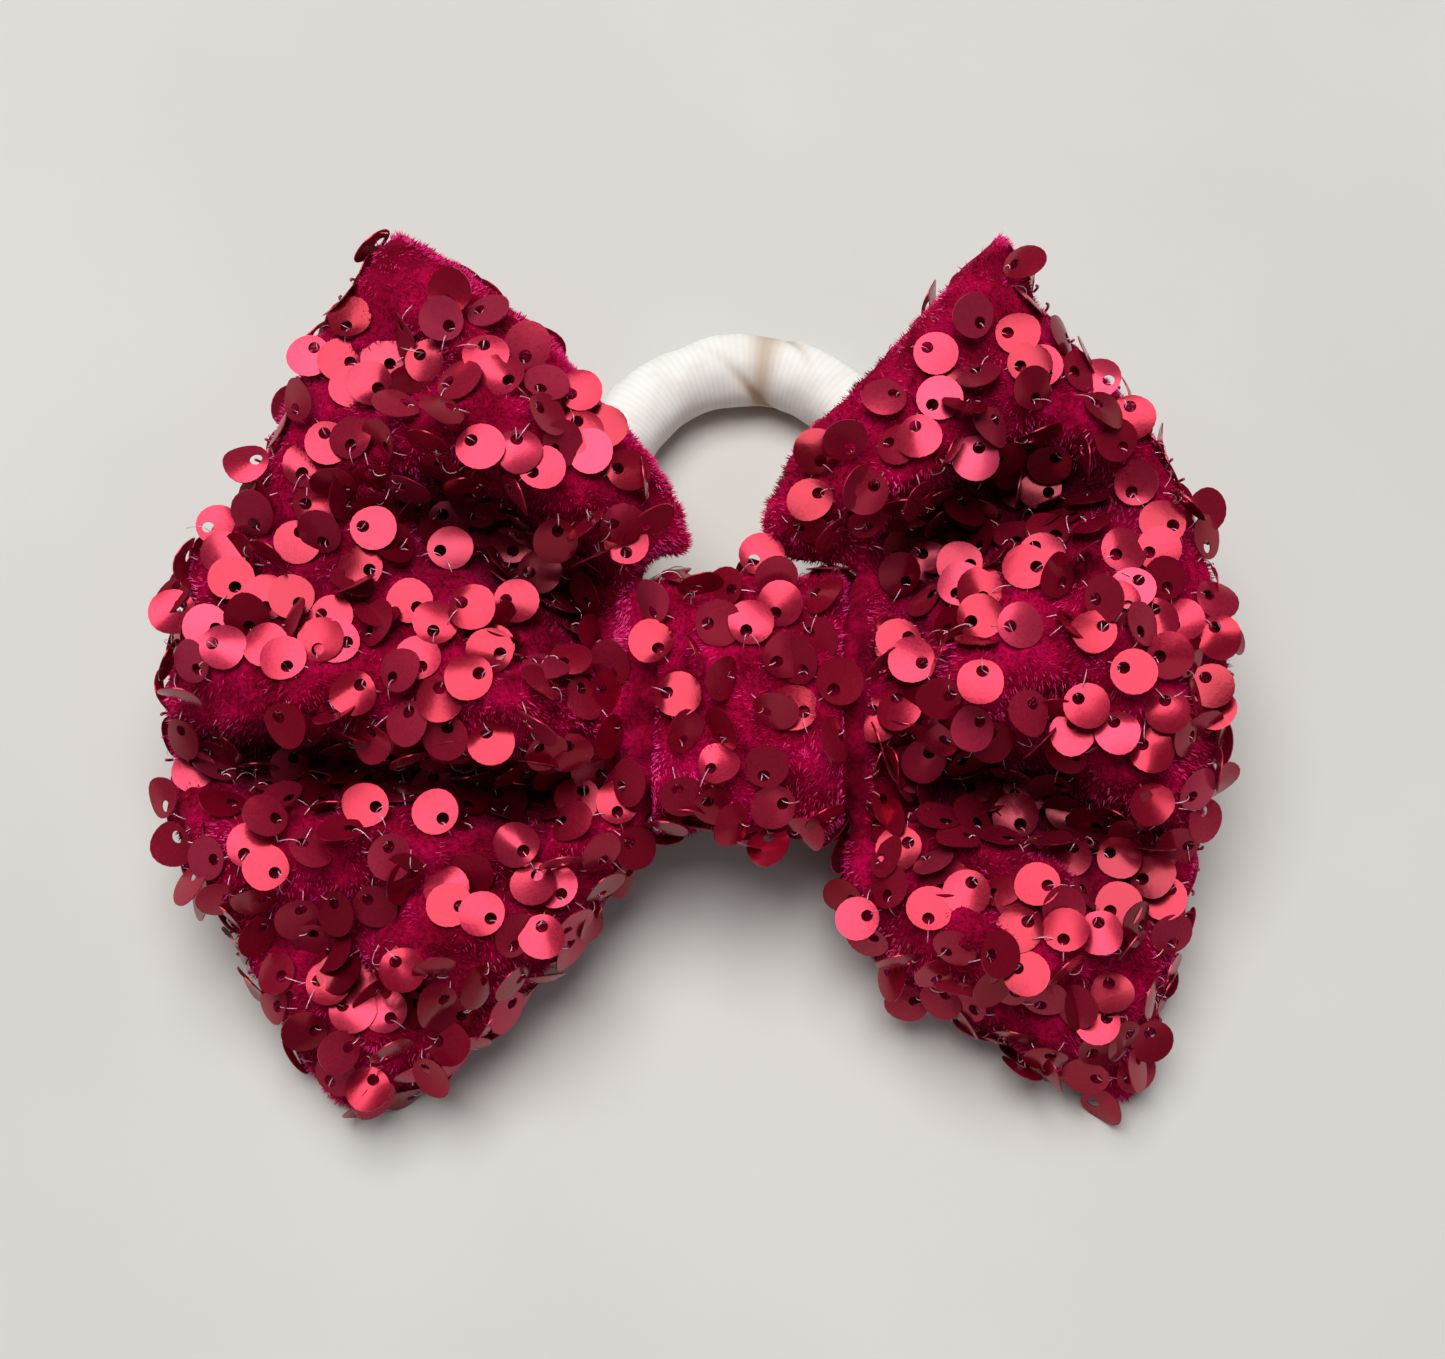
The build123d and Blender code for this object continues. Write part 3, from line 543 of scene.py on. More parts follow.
def wing_object(shape, name):
    """The closed, puffy wing with its gathered neck, as one continuous skin."""
    n = 340
    outline = np.vstack([shape.top[:-1], shape.outer[:-1], shape.low])
    ring = resample(outline, n - 40)
    neck = resample(np.array([shape.low[-1], shape.top[0]]), 42)[1:-1]
    ring = np.vstack([ring, neck])
    n = len(ring)
    # scalloped, slightly puckered outer edge
    t = np.arange(n) / n
    nrm = ring - shape.centre
    nrm /= np.linalg.norm(nrm, axis=1)[:, None]
    wob = Waves(11.0, shape.seed + 9)(np.c_[ring, np.zeros(n)]) * 0.35
    ring = ring + nrm * (wob - 0.2)[:, None]
    rr = np.r_[np.linspace(0.03, 0.8, 46), 1 - np.linspace(0.19, 0.0, 26) ** 1.35 / 0.19 ** 0.35]
    rr[-1] = 1.0
    verts, faces = [], []
    count = 0
    rims = []
    for side in (1, -1):
        grid = shape.centre + rr[:, None, None] * (ring - shape.centre)[None]
        p = np.vstack([shape.centre[None], grid.reshape(-1, 2)])
        e = shape.edge(p)
        h = shape.relief(p, e, side)
        if side < 0:
            h = np.minimum(h, np.maximum(0.1, shape.limit(p)))
        w = shape.seam(p) + side * h
        q = np.c_[shape.side * p[:, 0], p[:, 1], w]
        verts.append(q)
        m = len(rr)
        idx = lambda i, j: count + 1 + i * n + (j % n)
        for j in range(n):
            faces.append((count, idx(0, j), idx(0, j + 1)) if side > 0 else (count, idx(0, j + 1), idx(0, j)))
            for i in range(m - 1):
                f = (idx(i, j), idx(i + 1, j), idx(i + 1, j + 1), idx(i, j + 1))
                faces.append(f if side > 0 else f[::-1])
        rims.append([idx(m - 1, j) for j in range(n)])
        count += len(q)
    for j in range(n):
        k = (j + 1) % n
        faces.append((rims[0][j], rims[1][j], rims[1][k], rims[0][k]))
    body = np.vstack(verts)
    # the neck: a pleated funnel out of the wrap, merging into the wing
    m, s = 120, 30
    loops = []
    for a in np.linspace(3.0, 17.0, s):
        f = float(smooth((a - 10.8) / 4.5))
        hv, hw = 10.9 + 2.9 * float(smooth((a - 10.1) / 1.5)), 7.9 - f * 6.3
        ang = np.linspace(0, 2 * math.pi, m, endpoint=False)
        pl = 0.55 * np.cos(15 * ang + 0.25 * a) * (1 - 0.6 * f)
        loops.append(np.c_[np.full(m, shape.side * a), (hv + pl) * np.cos(ang),
                           1.0 * (1 - f) + (hw + pl) * np.sin(ang)])
    base = len(body)
    funnel = np.vstack(loops)
    for i in range(s - 1):
        for j in range(m):
            k = (j + 1) % m
            faces.append((base + i * m + j, base + (i + 1) * m + j, base + (i + 1) * m + k, base + i * m + k))
    faces.append(tuple(base + j for j in range(m))[::-1])
    faces.append(tuple(base + (s - 1) * m + j for j in range(m)))
    ob = new_mesh(name, world(np.vstack([body, funnel])), faces)
    mod = ob.modifiers.new("skin", "REMESH")
    mod.mode = "VOXEL"
    mod.voxel_size = 0.62 * MM
    mod.adaptivity = 0.0
    sm = ob.modifiers.new("soft", "SMOOTH")
    sm.factor = 0.5
    sm.iterations = 4
    apply_all(ob)
    return ob


def fine_wrinkles(ob, seed, amount=1.0):
    co = verts_of(ob)
    q = flat_of(co)
    n = normals_of(ob)
    w = 0.16 * Waves(4.2, seed)(q) + 0.10 * Waves(2.2, seed + 1)(q)
    keep = 1.0 - smooth((13.5 - np.abs(q[:, 0])) / 3.0) * (np.abs(q[:, 1]) < 13.6)
    set_verts(ob, co + n * (w * amount * keep * MM)[:, None])
    co = verts_of(ob)
    co[:, 2] = np.maximum(co[:, 2], 0.00005)
    set_verts(ob, co)


def planar_bake_uv(ob):
    """Front faces on the left half, back faces on the right half."""
    me = ob.data
    nl = len(me.loops)
    vi = np.zeros(nl, np.int32)
    me.loops.foreach_get("vertex_index", vi)
    q = flat_of(verts_of(ob))
    lo, hi = q.min(0), q.max(0)
    s = 0.98 / max((hi[0] - lo[0]) * 2, hi[1] - lo[1])
    npoly = len(me.polygons)
    nn = np.zeros(npoly * 3, np.float32)
    me.polygons.foreach_get("normal", nn)
    back = (nn.reshape(-1, 3) @ turn([0, 0, 1.0])) < 0
    tot = np.zeros(npoly, np.int32)
    me.polygons.foreach_get("loop_total", tot)
    lb = np.repeat(back, tot)
    uv = np.c_[(q[vi, 0] - lo[0]) * s * 1.0 + np.where(lb, 0.5, 0.0) + 0.004, (q[vi, 1] - lo[1]) * s + 0.004]
    set_uv(ob, uv)


def tri_data(ob):
    me = ob.data
    me.calc_loop_triangles()
    nt = len(me.loop_triangles)
    tri = np.zeros(nt * 3, np.int32)
    me.loop_triangles.foreach_get("vertices", tri)
    tri = tri.reshape(-1, 3)
    co, vn = verts_of(ob), normals_of(ob)
    a, b, c = co[tri[:, 0]], co[tri[:, 1]], co[tri[:, 2]]
    area = np.linalg.norm(np.cross(b - a, c - a), axis=1) / 2
    return co, vn, tri, area


def scatter(ob, count, rng, accept=None, batch=3):
    """Random points on a mesh: positions (m), normals, both in the row frame."""
    co, vn, tri, area = tri_data(ob)
    pick = rng.choice(len(tri), size=count * batch, p=area / area.sum())
    r1, r2 = np.sqrt(rng.random(count * batch)), rng.random(count * batch)
    bar = np.c_[1 - r1, r1 * (1 - r2), r1 * r2]
    pos = (co[tri[pick]] * bar[..., None]).sum(1)
    nor = (vn[tri[pick]] * bar[..., None]).sum(1)
    nor /= np.linalg.norm(nor, axis=1)[:, None]
    if accept is not None:
        ok = accept(flat_of(pos), np.stack([nor @ AX_U, nor @ AX_V, nor @ AX_W], -1))
        pos, nor = pos[ok], nor[ok]
    return pos[:count], nor[:count]


def spread(pos, gap):
    """Indices of points kept so that no two are nearer than the gap."""
    cell = {}
    keep = []
    g = gap
    inv = 1.0 / g
    for i, p in enumerate(pos):
        key = tuple(np.floor(p * inv).astype(int))
        ok = True
        for dx in (-1, 0, 1):
            for dy in (-1, 0, 1):
                for dz in (-1, 0, 1):
                    for j in cell.get((key[0] + dx, key[1] + dy, key[2] + dz), ()):
                        d = pos[j] - p
                        if d @ d < g * g:
                            ok = False
                            break
                    if not ok:
                        break
                if not ok:
                    break
            if not ok:
                break
        if ok:
            keep.append(i)
            cell.setdefault(key, []).append(i)
    return np.array(keep, int)


# ---------------------------------------------------------------------------
# sequins, their threads, and the velvet's pile
# ---------------------------------------------------------------------------
SEG = 20


def sequin_template():
    ang = np.linspace(0, 2 * math.pi, SEG, endpoint=False)
    outer = np.c_[2.5 * np.cos(ang), 2.5 * np.sin(ang)]
    hole = np.c_[1.15 + 0.68 * np.cos(ang), 0.68 * np.sin(ang)]
    mid = hole * 0.45 + outer * 0.55
    flat = np.vstack([outer, mid, hole])                  # 3 rings
    top = np.c_[flat, np.full(len(flat), 0.06)]
    bot = np.c_[flat, np.full(len(flat), -0.06)]
    v = np.vstack([top, bot])
    f = []
    n, half = SEG, 3 * SEG
    for j in range(n):
        k = (j + 1) % n
        f += [(j, k, n + k, n + j), (n + j, n + k, 2 * n + k, 2 * n + j)]
        f += [(half + j, half + n + j, half + n + k, half + k),
              (half + n + j, half + 2 * n + j, half + 2 * n + k, half + n + k)]
        f += [(j, half + j, half + k, k), (2 * n + j, 2 * n + k, half + 2 * n + k, half + 2 * n + j)]
    f = np.array(f)
    kind = np.tile([0, 0, 1, 1, 2, 2], n)
    return v, f, kind


def frames(n, rng, drape, spin_bias=None):
    """Two in-plane axes for every disc normal, the first roughly up the bow's face."""
    ref = np.tile(np.asarray(drape, float), (len(n), 1)) + rng.normal(size=(len(n), 3)) * 0.55
    x = ref - n * (ref * n).sum(1)[:, None]
    x /= np.linalg.norm(x, axis=1)[:, None]
    y = np.cross(n, x)
    spin = rng.uniform(0, 2 * math.pi, len(n))[:, None]
    x = x * np.cos(spin) + y * np.sin(spin)
    return x, np.cross(n, x)


def sequin_cloud(name, pos, nor, rng, lift=0.50, facing=0.55, painted_fold_shade=None):
    """Real discs with their sewing hole, one per point, shingled over the cloth."""
    tv, tf, kind = sequin_template()
    m = len(pos)
    up = turn([0.12, 1.0, 0.1])
    hang, side_ax = frames(nor, rng, up)
    # the disc hangs from its hole: its free side stands off the cloth
    tilt = np.clip(rng.normal(14, 13, m), -10, 46)
    wild = rng.random(m) < 0.30
    tilt = np.where(wild, rng.uniform(30, 72, m), tilt)
    roll = np.clip(rng.normal(0, 17, m), -45, 45)
    calm = 0.22 + 0.78 * smooth((nor @ turn([0, 0, 1.0]) - 0.20) / 0.45)
    tilt, roll = np.radians(tilt * calm), np.radians(roll * calm)
    # hole side axis x points up the face; rotate about the side axis so the lower edge lifts
    x = hang * np.cos(tilt)[:, None] - nor * np.sin(tilt)[:, None]
    z = nor * np.cos(tilt)[:, None] + hang * np.sin(tilt)[:, None]
    y = np.cross(z, x)
    y2 = y * np.cos(roll)[:, None] + z * np.sin(roll)[:, None]
    z2 = z * np.cos(roll)[:, None] - y * np.sin(roll)[:, None]
    y, z = y2, z2
    # many lie level, showing their face to the light
    to_eye = np.array(cam.matrix_world.translation) - pos
    to_eye /= np.linalg.norm(to_eye, axis=1)[:, None]
    level = to_eye + np.array(KEY_DIR) / np.linalg.norm(KEY_DIR)
    level /= np.linalg.norm(level, axis=1)[:, None]
    level += rng.normal(size=(m, 3)) * 0.075
    level /= np.linalg.norm(level, axis=1)[:, None]
    front = nor @ turn([0, 0, 1.0])
    lie = (rng.random(m) < facing) & ((level * nor).sum(1) > 0.62) & (front > 0.42)
    z = np.where(lie[:, None], level, z)
    x = x - z * (x * z).sum(1)[:, None]
    x /= np.linalg.norm(x, axis=1)[:, None]
    y = np.cross(z, x)
    lean = np.linalg.norm(np.cross(z, nor), axis=1)
    off = (lift + rng.random(m) * 0.35) * (0.6 + 0.4 * calm) + 1.45 * lean
    centre = pos / MM + nor * off[:, None] - x * (0.35 + 0.65 * calm)[:, None]
    size = rng.normal(0.95, 0.02, m)
    cup = rng.normal(-0.02, 0.028, m)
    bend = rng.normal(0.0, 0.030, m)
    X, Y, Z = tv[:, 0], tv[:, 1], tv[:, 2]
    wav = rng.normal(0, 0.018, (m, 3))
    ph = rng.uniform(0, 6.28, (m, 3))
    ang = np.arctan2(Y, X)
    rad = np.hypot(X, Y) / 2.5
    grow = 1 + rad[None] * sum(wav[:, k:k + 1] * np.cos((k + 2) * ang[None] + ph[:, k:k + 1]) for k in range(3)) * 0.6
    px = X[None] * size[:, None] * grow
    py = Y[None] * size[:, None] * grow
    pz = Z[None] + cup[:, None] * (px ** 2 + py ** 2) + bend[:, None] * (px ** 2 - py ** 2)
    P = centre[:, None] + px[..., None] * x[:, None] + py[..., None] * y[:, None] + pz[..., None] * z[:, None]
    low = P[..., 2].min(1)
    P[..., 2] += np.maximum(0.05 - low, 0)[:, None]
    V = P.reshape(-1, 3) * MM
    F = (tf[None] + (np.arange(m) * len(tv))[:, None, None]).reshape(-1, 4)
    ob = new_mesh(name, V, F)
    # rims stay crisp
    me = ob.data
    shade = np.repeat(np.clip(rng.beta(2.2, 2.0, m), 0, 1), len(tv))
    add_attr(ob, "shade", shade)
    # painted shade weight per disc, darker down in the folds
    add_attr(ob, "painted_fold_shade", np.repeat(np.zeros(m) if painted_fold_shade is None else painted_fold_shade, len(tv)))
    # edges on the two rims are sharp
    ne = len(me.edges)
    ev = np.zeros(ne * 2, np.int32)
    me.edges.foreach_get("vertices", ev)
    ev = ev.reshape(-1, 2) % len(tv)
    ring = (ev // SEG)
    same = ring[:, 0] == ring[:, 1]
    sharp = same & np.isin(ring[:, 0], (0, 2, 3, 5))
    a = me.attributes.new("sharp_edge", "BOOLEAN", "EDGE")
    a.data.foreach_set("value", sharp)
    # bake layout: one cell a disc
    g = int(math.ceil(math.sqrt(m * 2)))
    cell = 1.0 / g
    kinds = np.tile(kind, m)
    disc = np.repeat(np.arange(m), len(tf))
    slot_i = disc * 2 + (kinds == 1)
    ox, oy = (slot_i % g) * cell, (slot_i // g) * cell
    loc = tf
    lu = (tv[loc][..., 0] / 5.6 + 0.5)
    lv = (tv[loc][..., 1] / 5.6 + 0.5)
    rimface = kind == 2
    lu = np.where(rimface[:, None], 0.02 + 0.01 * (np.arange(4)[None] % 2), lu)
    lv = np.where(rimface[:, None], 0.02 + 0.01 * (np.arange(4)[None] // 2), lv)
    uv = np.stack([ox[:, None] + np.tile(lu, (m, 1)) * cell, oy[:, None] + np.tile(lv, (m, 1)) * cell], -1)
    set_uv(ob, uv.reshape(-1, 2))
    ob.data.materials.append(SEQUIN)
    holes = centre + x * 1.15
    return ob, holes, x, y, z


def thread_cloud(name, pos, nor, holes, x, y, z, rng):
    """A clear thread loop through every sequin's hole, over its edge and down into the cloth."""
    V, F = [], []
    k, sides, r = 7, 4, 0.055
    t = np.linspace(0, 1, k)
    base = 0
    for i in range(len(holes)):
        for way in ((0, 1) if rng.random() < 0.5 else (0,)):
            h = holes[i]
            foot0 = pos[i] / MM - nor[i] * 0.15
            out = x[i] * rng.uniform(1.5, 2.2) + y[i] * rng.uniform(-0.9, 0.9)
            foot1 = h + out - z[i] * rng.uniform(0.9, 1.6)
            top = h + out * 0.45 + z[i] * rng.uniform(0.22, 0.5)
            a = foot0 * 0.5 + h * 0.5 - z[i] * 0.35
            pts = np.array([a, h + z[i] * 0.12, top, foot1])
            if way:
                # the stitch's running part, arching over the cloth beside the disc
                go = np.cross(nor[i], x[i]) * rng.uniform(1.4, 2.6) * rng.choice((-1.0, 1.0)) + x[i] * rng.uniform(-0.6, 1.6)
                go = go - nor[i] * (go @ nor[i])
                foot = pos[i] / MM + nor[i] * 0.10
                pts = np.array([foot, foot + go * 0.25 + nor[i] * rng.uniform(0.9, 1.5),
                                foot + go * 0.8 + nor[i] * rng.uniform(0.9, 1.5), foot + go * 1.15 - nor[i] * 0.1])
            q = ((1 - t) ** 3)[:, None] * pts[0] + (3 * t * (1 - t) ** 2)[:, None] * pts[1] \
                + (3 * t ** 2 * (1 - t))[:, None] * pts[2] + (t ** 3)[:, None] * pts[3]
            d = np.gradient(q, axis=0)
            d /= np.linalg.norm(d, axis=1)[:, None]
            s = np.cross(d, (y[i] + 0.3 * z[i]) if not way else (nor[i] + 0.31 * x[i]))
            s /= np.linalg.norm(s, axis=1)[:, None]
            c = np.cross(d, s)
            for j in range(k):
                for b in range(sides):
                    an = 2 * math.pi * b / sides
                    V.append(q[j] + r * (math.cos(an) * s[j] + math.sin(an) * c[j]))
            for j in range(k - 1):
                for b in range(sides):
                    bb = (b + 1) % sides
                    F.append((base + j * sides + b, base + j * sides + bb,
                              base + (j + 1) * sides + bb, base + (j + 1) * sides + b))
            F.append((base + 3, base + 2, base + 1, base))
            e = base + (k - 1) * sides
            F.append((e, e + 1, e + 2, e + 3))
            base += k * sides
    V = np.array(V)
    V[:, 2] = np.maximum(V[:, 2], 0.03)
    ob = new_mesh(name, V * MM, np.array(F))
    n = len(F)
    g = int(math.ceil(math.sqrt(n)))
    i = np.arange(n)
    corner = np.array([(0.1, 0.1), (0.9, 0.1), (0.9, 0.9), (0.1, 0.9)])
    uv = (np.c_[i % g, i // g][:, None] + corner[None]) / g
    set_uv(ob, uv.reshape(-1, 2))
    ob.data.materials.append(THREAD)
    return ob


def pile_cloud(name, pos, nor, rng, length=(0.40, 0.95), width=0.095, lean=0.55, painted_highlight=None, painted_fold_shade=None):
    """Short tapered tufts of velvet pile."""
    m = len(pos)
    L = rng.uniform(*length, m)
    drift = turn([0.2, -1.0, 0.25])
    q = flat_of(pos)
    swirl = np.stack([Waves(9.0, 71)(q), Waves(9.0, 72)(q), Waves(9.0, 73)(q)], -1)
    d = nor + lean * (0.35 * drift + 0.75 * swirl + rng.normal(size=(m, 3)) * 0.45)
    d /= np.linalg.norm(d, axis=1)[:, None]
    s = np.cross(d, rng.normal(size=(m, 3)))
    s /= np.linalg.norm(s, axis=1)[:, None]
    t = np.cross(d, s)
    root = pos / MM - nor * 0.12
    w = width * rng.uniform(0.7, 1.3, m)
    p = [root + s * w[:, None], root - 0.5 * s * w[:, None] + 0.87 * t * w[:, None],
         root - 0.5 * s * w[:, None] - 0.87 * t * w[:, None], root + d * L[:, None]]
    V = np.stack(p, 1).reshape(-1, 3)
    V[:, 2] = np.maximum(V[:, 2], 0.02)
    i = np.arange(m) * 4
    F = np.stack([np.c_[i, i + 1, i + 3], np.c_[i + 1, i + 2, i + 3], np.c_[i + 2, i, i + 3]], 1).reshape(-1, 3)
    ob = new_mesh(name, V * MM, F, smooth=False)
    shade = np.clip(rng.beta(2.0, 2.6, m) + 0.24 * Waves(7.0, 5)(q), 0, 1)
    # painted highlight: the extra lift raises these tufts' colour towards bright pink
    if painted_highlight is not None:
        shade = np.clip(shade + painted_highlight, 0, 1)
    add_attr(ob, "shade", np.repeat(shade, 4))
    # painted shade weight per tuft, darker down in the folds
    add_attr(ob, "painted_fold_shade", np.repeat(np.zeros(m) if painted_fold_shade is None else painted_fold_shade, 4))
    n = len(F)
    g = int(math.ceil(math.sqrt(m)))
    c = np.repeat(np.arange(m), 3)
    corner = np.array([(0.1, 0.1), (0.9, 0.1), (0.5, 0.9)])
    uv = (np.c_[c % g, c // g][:, None] + corner[None]) / g
    set_uv(ob, uv.reshape(-1, 2))
    ob.data.materials.append(PILE)
    return ob


def painted_fold_shade_of(shape, pos, nor):
    """How far down in a fold the cloth lies, 0 on the ridges to 1 at the bottom: the weight of the painted shade that
    darkens the colour in the folds.
    """
    q = flat_of(pos)
    p = np.c_[np.abs(q[:, 0]), q[:, 1]]
    ridge = (FRONT_BASE + 3.5) * shape.edge(p) * (0.62 + 0.38 * smooth((p[:, 0] - 11.0) / 12.0))
    painted_shade_weight = np.clip((ridge - (q[:, 2] - shape.seam(p)) - 1.5) / 7.5, 0, 1)
    return painted_shade_weight * smooth((nor @ turn([0, 0, 1.0]) + 0.15) / 0.45)


SHAPES = {
    "left": WingShape(-1, LEFT, (27.0, 10.5), LEFT_FRONT, 11),
    "right": WingShape(1, RIGHT, (26.0, 12.5), RIGHT_FRONT, 47),
}


def blend_wing(ob):
    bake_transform(ob)


for name, shape in SHAPES.items():
    wing = wing_object(shape, name + "_wing_velvet")
    fine_wrinkles(wing, 31 if name == "left" else 57)
    planar_bake_uv(wing)
    wing.data.materials.append(VELVET)
    # painted shade: the velvet's colour is darkened down in the folds by this weight
    add_attr(wing, "painted_fold_shade", painted_fold_shade_of(shape, verts_of(wing), normals_of(wing)))

    side = shape.side
    rng = np.random.default_rng(901 if name == "left" else 902)

    def clear_of_knot(q):
        return ~((np.abs(q[:, 0]) < 12.2) & (np.abs(q[:, 1]) < 14.2))

    def sequin_ok(q, n):
        p = np.c_[np.abs(q[:, 0]), q[:, 1]]
        d_top, _ = path_near(p, shape.top)
        d_out, _ = path_near(p, shape.outer)
        # the folded top edge and the side seam show bare velvet
        bare = ((d_top < 2.9) & (q[:, 2] > -3.5)) | ((d_out < 1.5) & (np.abs(q[:, 2] - shape.seam(p)) < 3.2) & (rng.random(len(q)) < 0.75))
        tie = (q[:, 2] < -3.0) & (np.abs(q[:, 0]) < 22.5) & (q[:, 1] > -22.0) & (q[:, 1] < 30.0)
        table = world(q)[:, 2] < 0.0012
        return clear_of_knot(q) & ~bare & ~tie & ~table

    pos, nor = scatter(wing, 8000, rng, sequin_ok)
    keep = spread(pos, 2.85 * MM)
    pos, nor = pos[keep], nor[keep]
    keep = rng.random(len(pos)) < 0.84
    pos, nor = pos[keep], nor[keep]
    print(name, "sequins", len(pos))
    seq, holes, x, y, z = sequin_cloud(name + "_wing_sequins", pos, nor, rng, painted_fold_shade=painted_fold_shade_of(shape, pos, nor))
    thr = thread_cloud(name + "_wing_threads", pos, nor, holes, x, y, z, rng)

    def pile_ok(q, n):
        return clear_of_knot(q) & (world(q)[:, 2] > 0.0006)

    def rim_ok(q, n):
        p = np.c_[np.abs(q[:, 0]), q[:, 1]]
        d_out, _ = path_near(p, shape.outer)
        d_top, _ = path_near(p, shape.top)
        return clear_of_knot(q) & (((d_out < 1.5) & (np.abs(q[:, 2] - shape.seam(p)) < 1.6)) | ((d_top < 1.0) & (side < 0))) \
            & (world(q)[:, 2] > 0.0006)

    fpos, fnor = scatter(wing, 46000, rng, pile_ok, batch=2)
    rpos, rnor = scatter(wing, 8000, rng, rim_ok, batch=40)
    fpos, fnor = np.vstack([fpos, rpos]), np.vstack([fnor, rnor])
    # painted highlight: the rim tufts along the side seam, and along the left wing's top edge, are coloured brighter
    # pink
    rim_painted_highlight = np.r_[np.zeros(len(fpos) - len(rpos)), np.full(len(rpos), 0.55)]
    pile = pile_cloud(name + "_wing_pile", fpos, fnor, rng, painted_highlight=rim_painted_highlight, painted_fold_shade=painted_fold_shade_of(shape, fpos, fnor))

    # seam stitches down the outer edge
    line = resample(shape.outer, 44)
    SV, SF = [], []
    tan = np.gradient(line, axis=0)
    tan /= np.linalg.norm(tan, axis=1)[:, None]
    for i in range(2, len(line) - 2):
        p, tn = line[i], tan[i]
        nn = np.array([tn[1], -tn[0]])
        if nn @ (p - shape.centre) < 0:
            nn = -nn
        w0 = shape.seam(p[None])[0]
        sl = rng.uniform(-0.25, 0.25)
        pts = []
        for a in np.linspace(-1, 1, 9):
            out = 0.55 + 0.28 * (1 - a * a)
            pts.append([side * (p[0] + nn[0] * out + tn[0] * sl * a), p[1] + nn[1] * out + tn[1] * sl * a, w0 + 1.25 * a])
        pts = np.array(pts)
        d = np.gradient(pts, axis=0)
        d /= np.linalg.norm(d, axis=1)[:, None]
        s = np.cross(d, [0.3, 0.9, 0.1])
        s /= np.linalg.norm(s, axis=1)[:, None]
        c = np.cross(d, s)
        base = len(SV)
        for j in range(9):
            for b in range(6):
                an = 2 * math.pi * b / 6
                SV.append(pts[j] + 0.16 * (math.cos(an) * s[j] + math.sin(an) * c[j]))
        for j in range(8):
            for b in range(6):
                bb = (b + 1) % 6
                SF.append((base + j * 6 + b, base + j * 6 + bb, base + j * 6 + 6 + bb, base + j * 6 + 6 + b))
        SF.append(tuple(base + b for b in range(6))[::-1])
        SF.append(tuple(base + 48 + b for b in range(6)))
    st = new_mesh(name + "_wing_seam_thread", world(np.array(SV)), SF)
    co = verts_of(st)
    co[:, 2] = np.maximum(co[:, 2], 0.00003)
    set_verts(st, co)
    st.data.materials.append(SEAM)

    for ob, sl in ((wing, "velvet"), (seq, "sequins"), (thr, "thread"), (pile, "velvet"), (st, "thread")):
        blend_wing(ob)
    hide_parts(name + "_front_panel", name + "_back_panel", name + "_filling")
    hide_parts(name + "_front_sequins", name + "_back_sequins")
    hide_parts(name + "_seam_stitches")

# ---------------------------------------------------------------------------
# the centre wrap
# ---------------------------------------------------------------------------
CORE_V, CORE_W0, CORE_HV, CORE_HW = 0.0, 1.0, 11.55, 8.65
TIE_V, TIE_W, TIE_R = 2.5, -11.9, 4.4


def hull2(points):
    points = sorted(map(tuple, points))

    def half(ps):
        out = []
        for p in ps:
            while len(out) > 1 and ((out[-1][0] - out[-2][0]) * (p[1] - out[-2][1])
                                    - (out[-1][1] - out[-2][1]) * (p[0] - out[-2][0])) <= 1e-9:
                out.pop()
            out.append(p)
        return out
    lo, up = half(points), half(points[::-1])
    return np.array(lo[:-1] + up[:-1])


def wrap_loop(grow, n):
    a = np.linspace(0, 2 * math.pi, 240, endpoint=False)
    e = np.c_[(CORE_HV + grow) * np.cos(a), CORE_W0 + (CORE_HW + grow) * np.sin(a)]
    c = np.c_[TIE_V + (TIE_R + grow) * np.cos(a), TIE_W + (TIE_R + grow) * np.sin(a)]
    h = hull2(np.vstack([e, c]))
    k = np.argmin(np.abs(h[:, 0]) + (h[:, 1] > 0) * 1e3)       # start behind
    return resample(np.vstack([h[k:], h[:k]]), n, close=True)


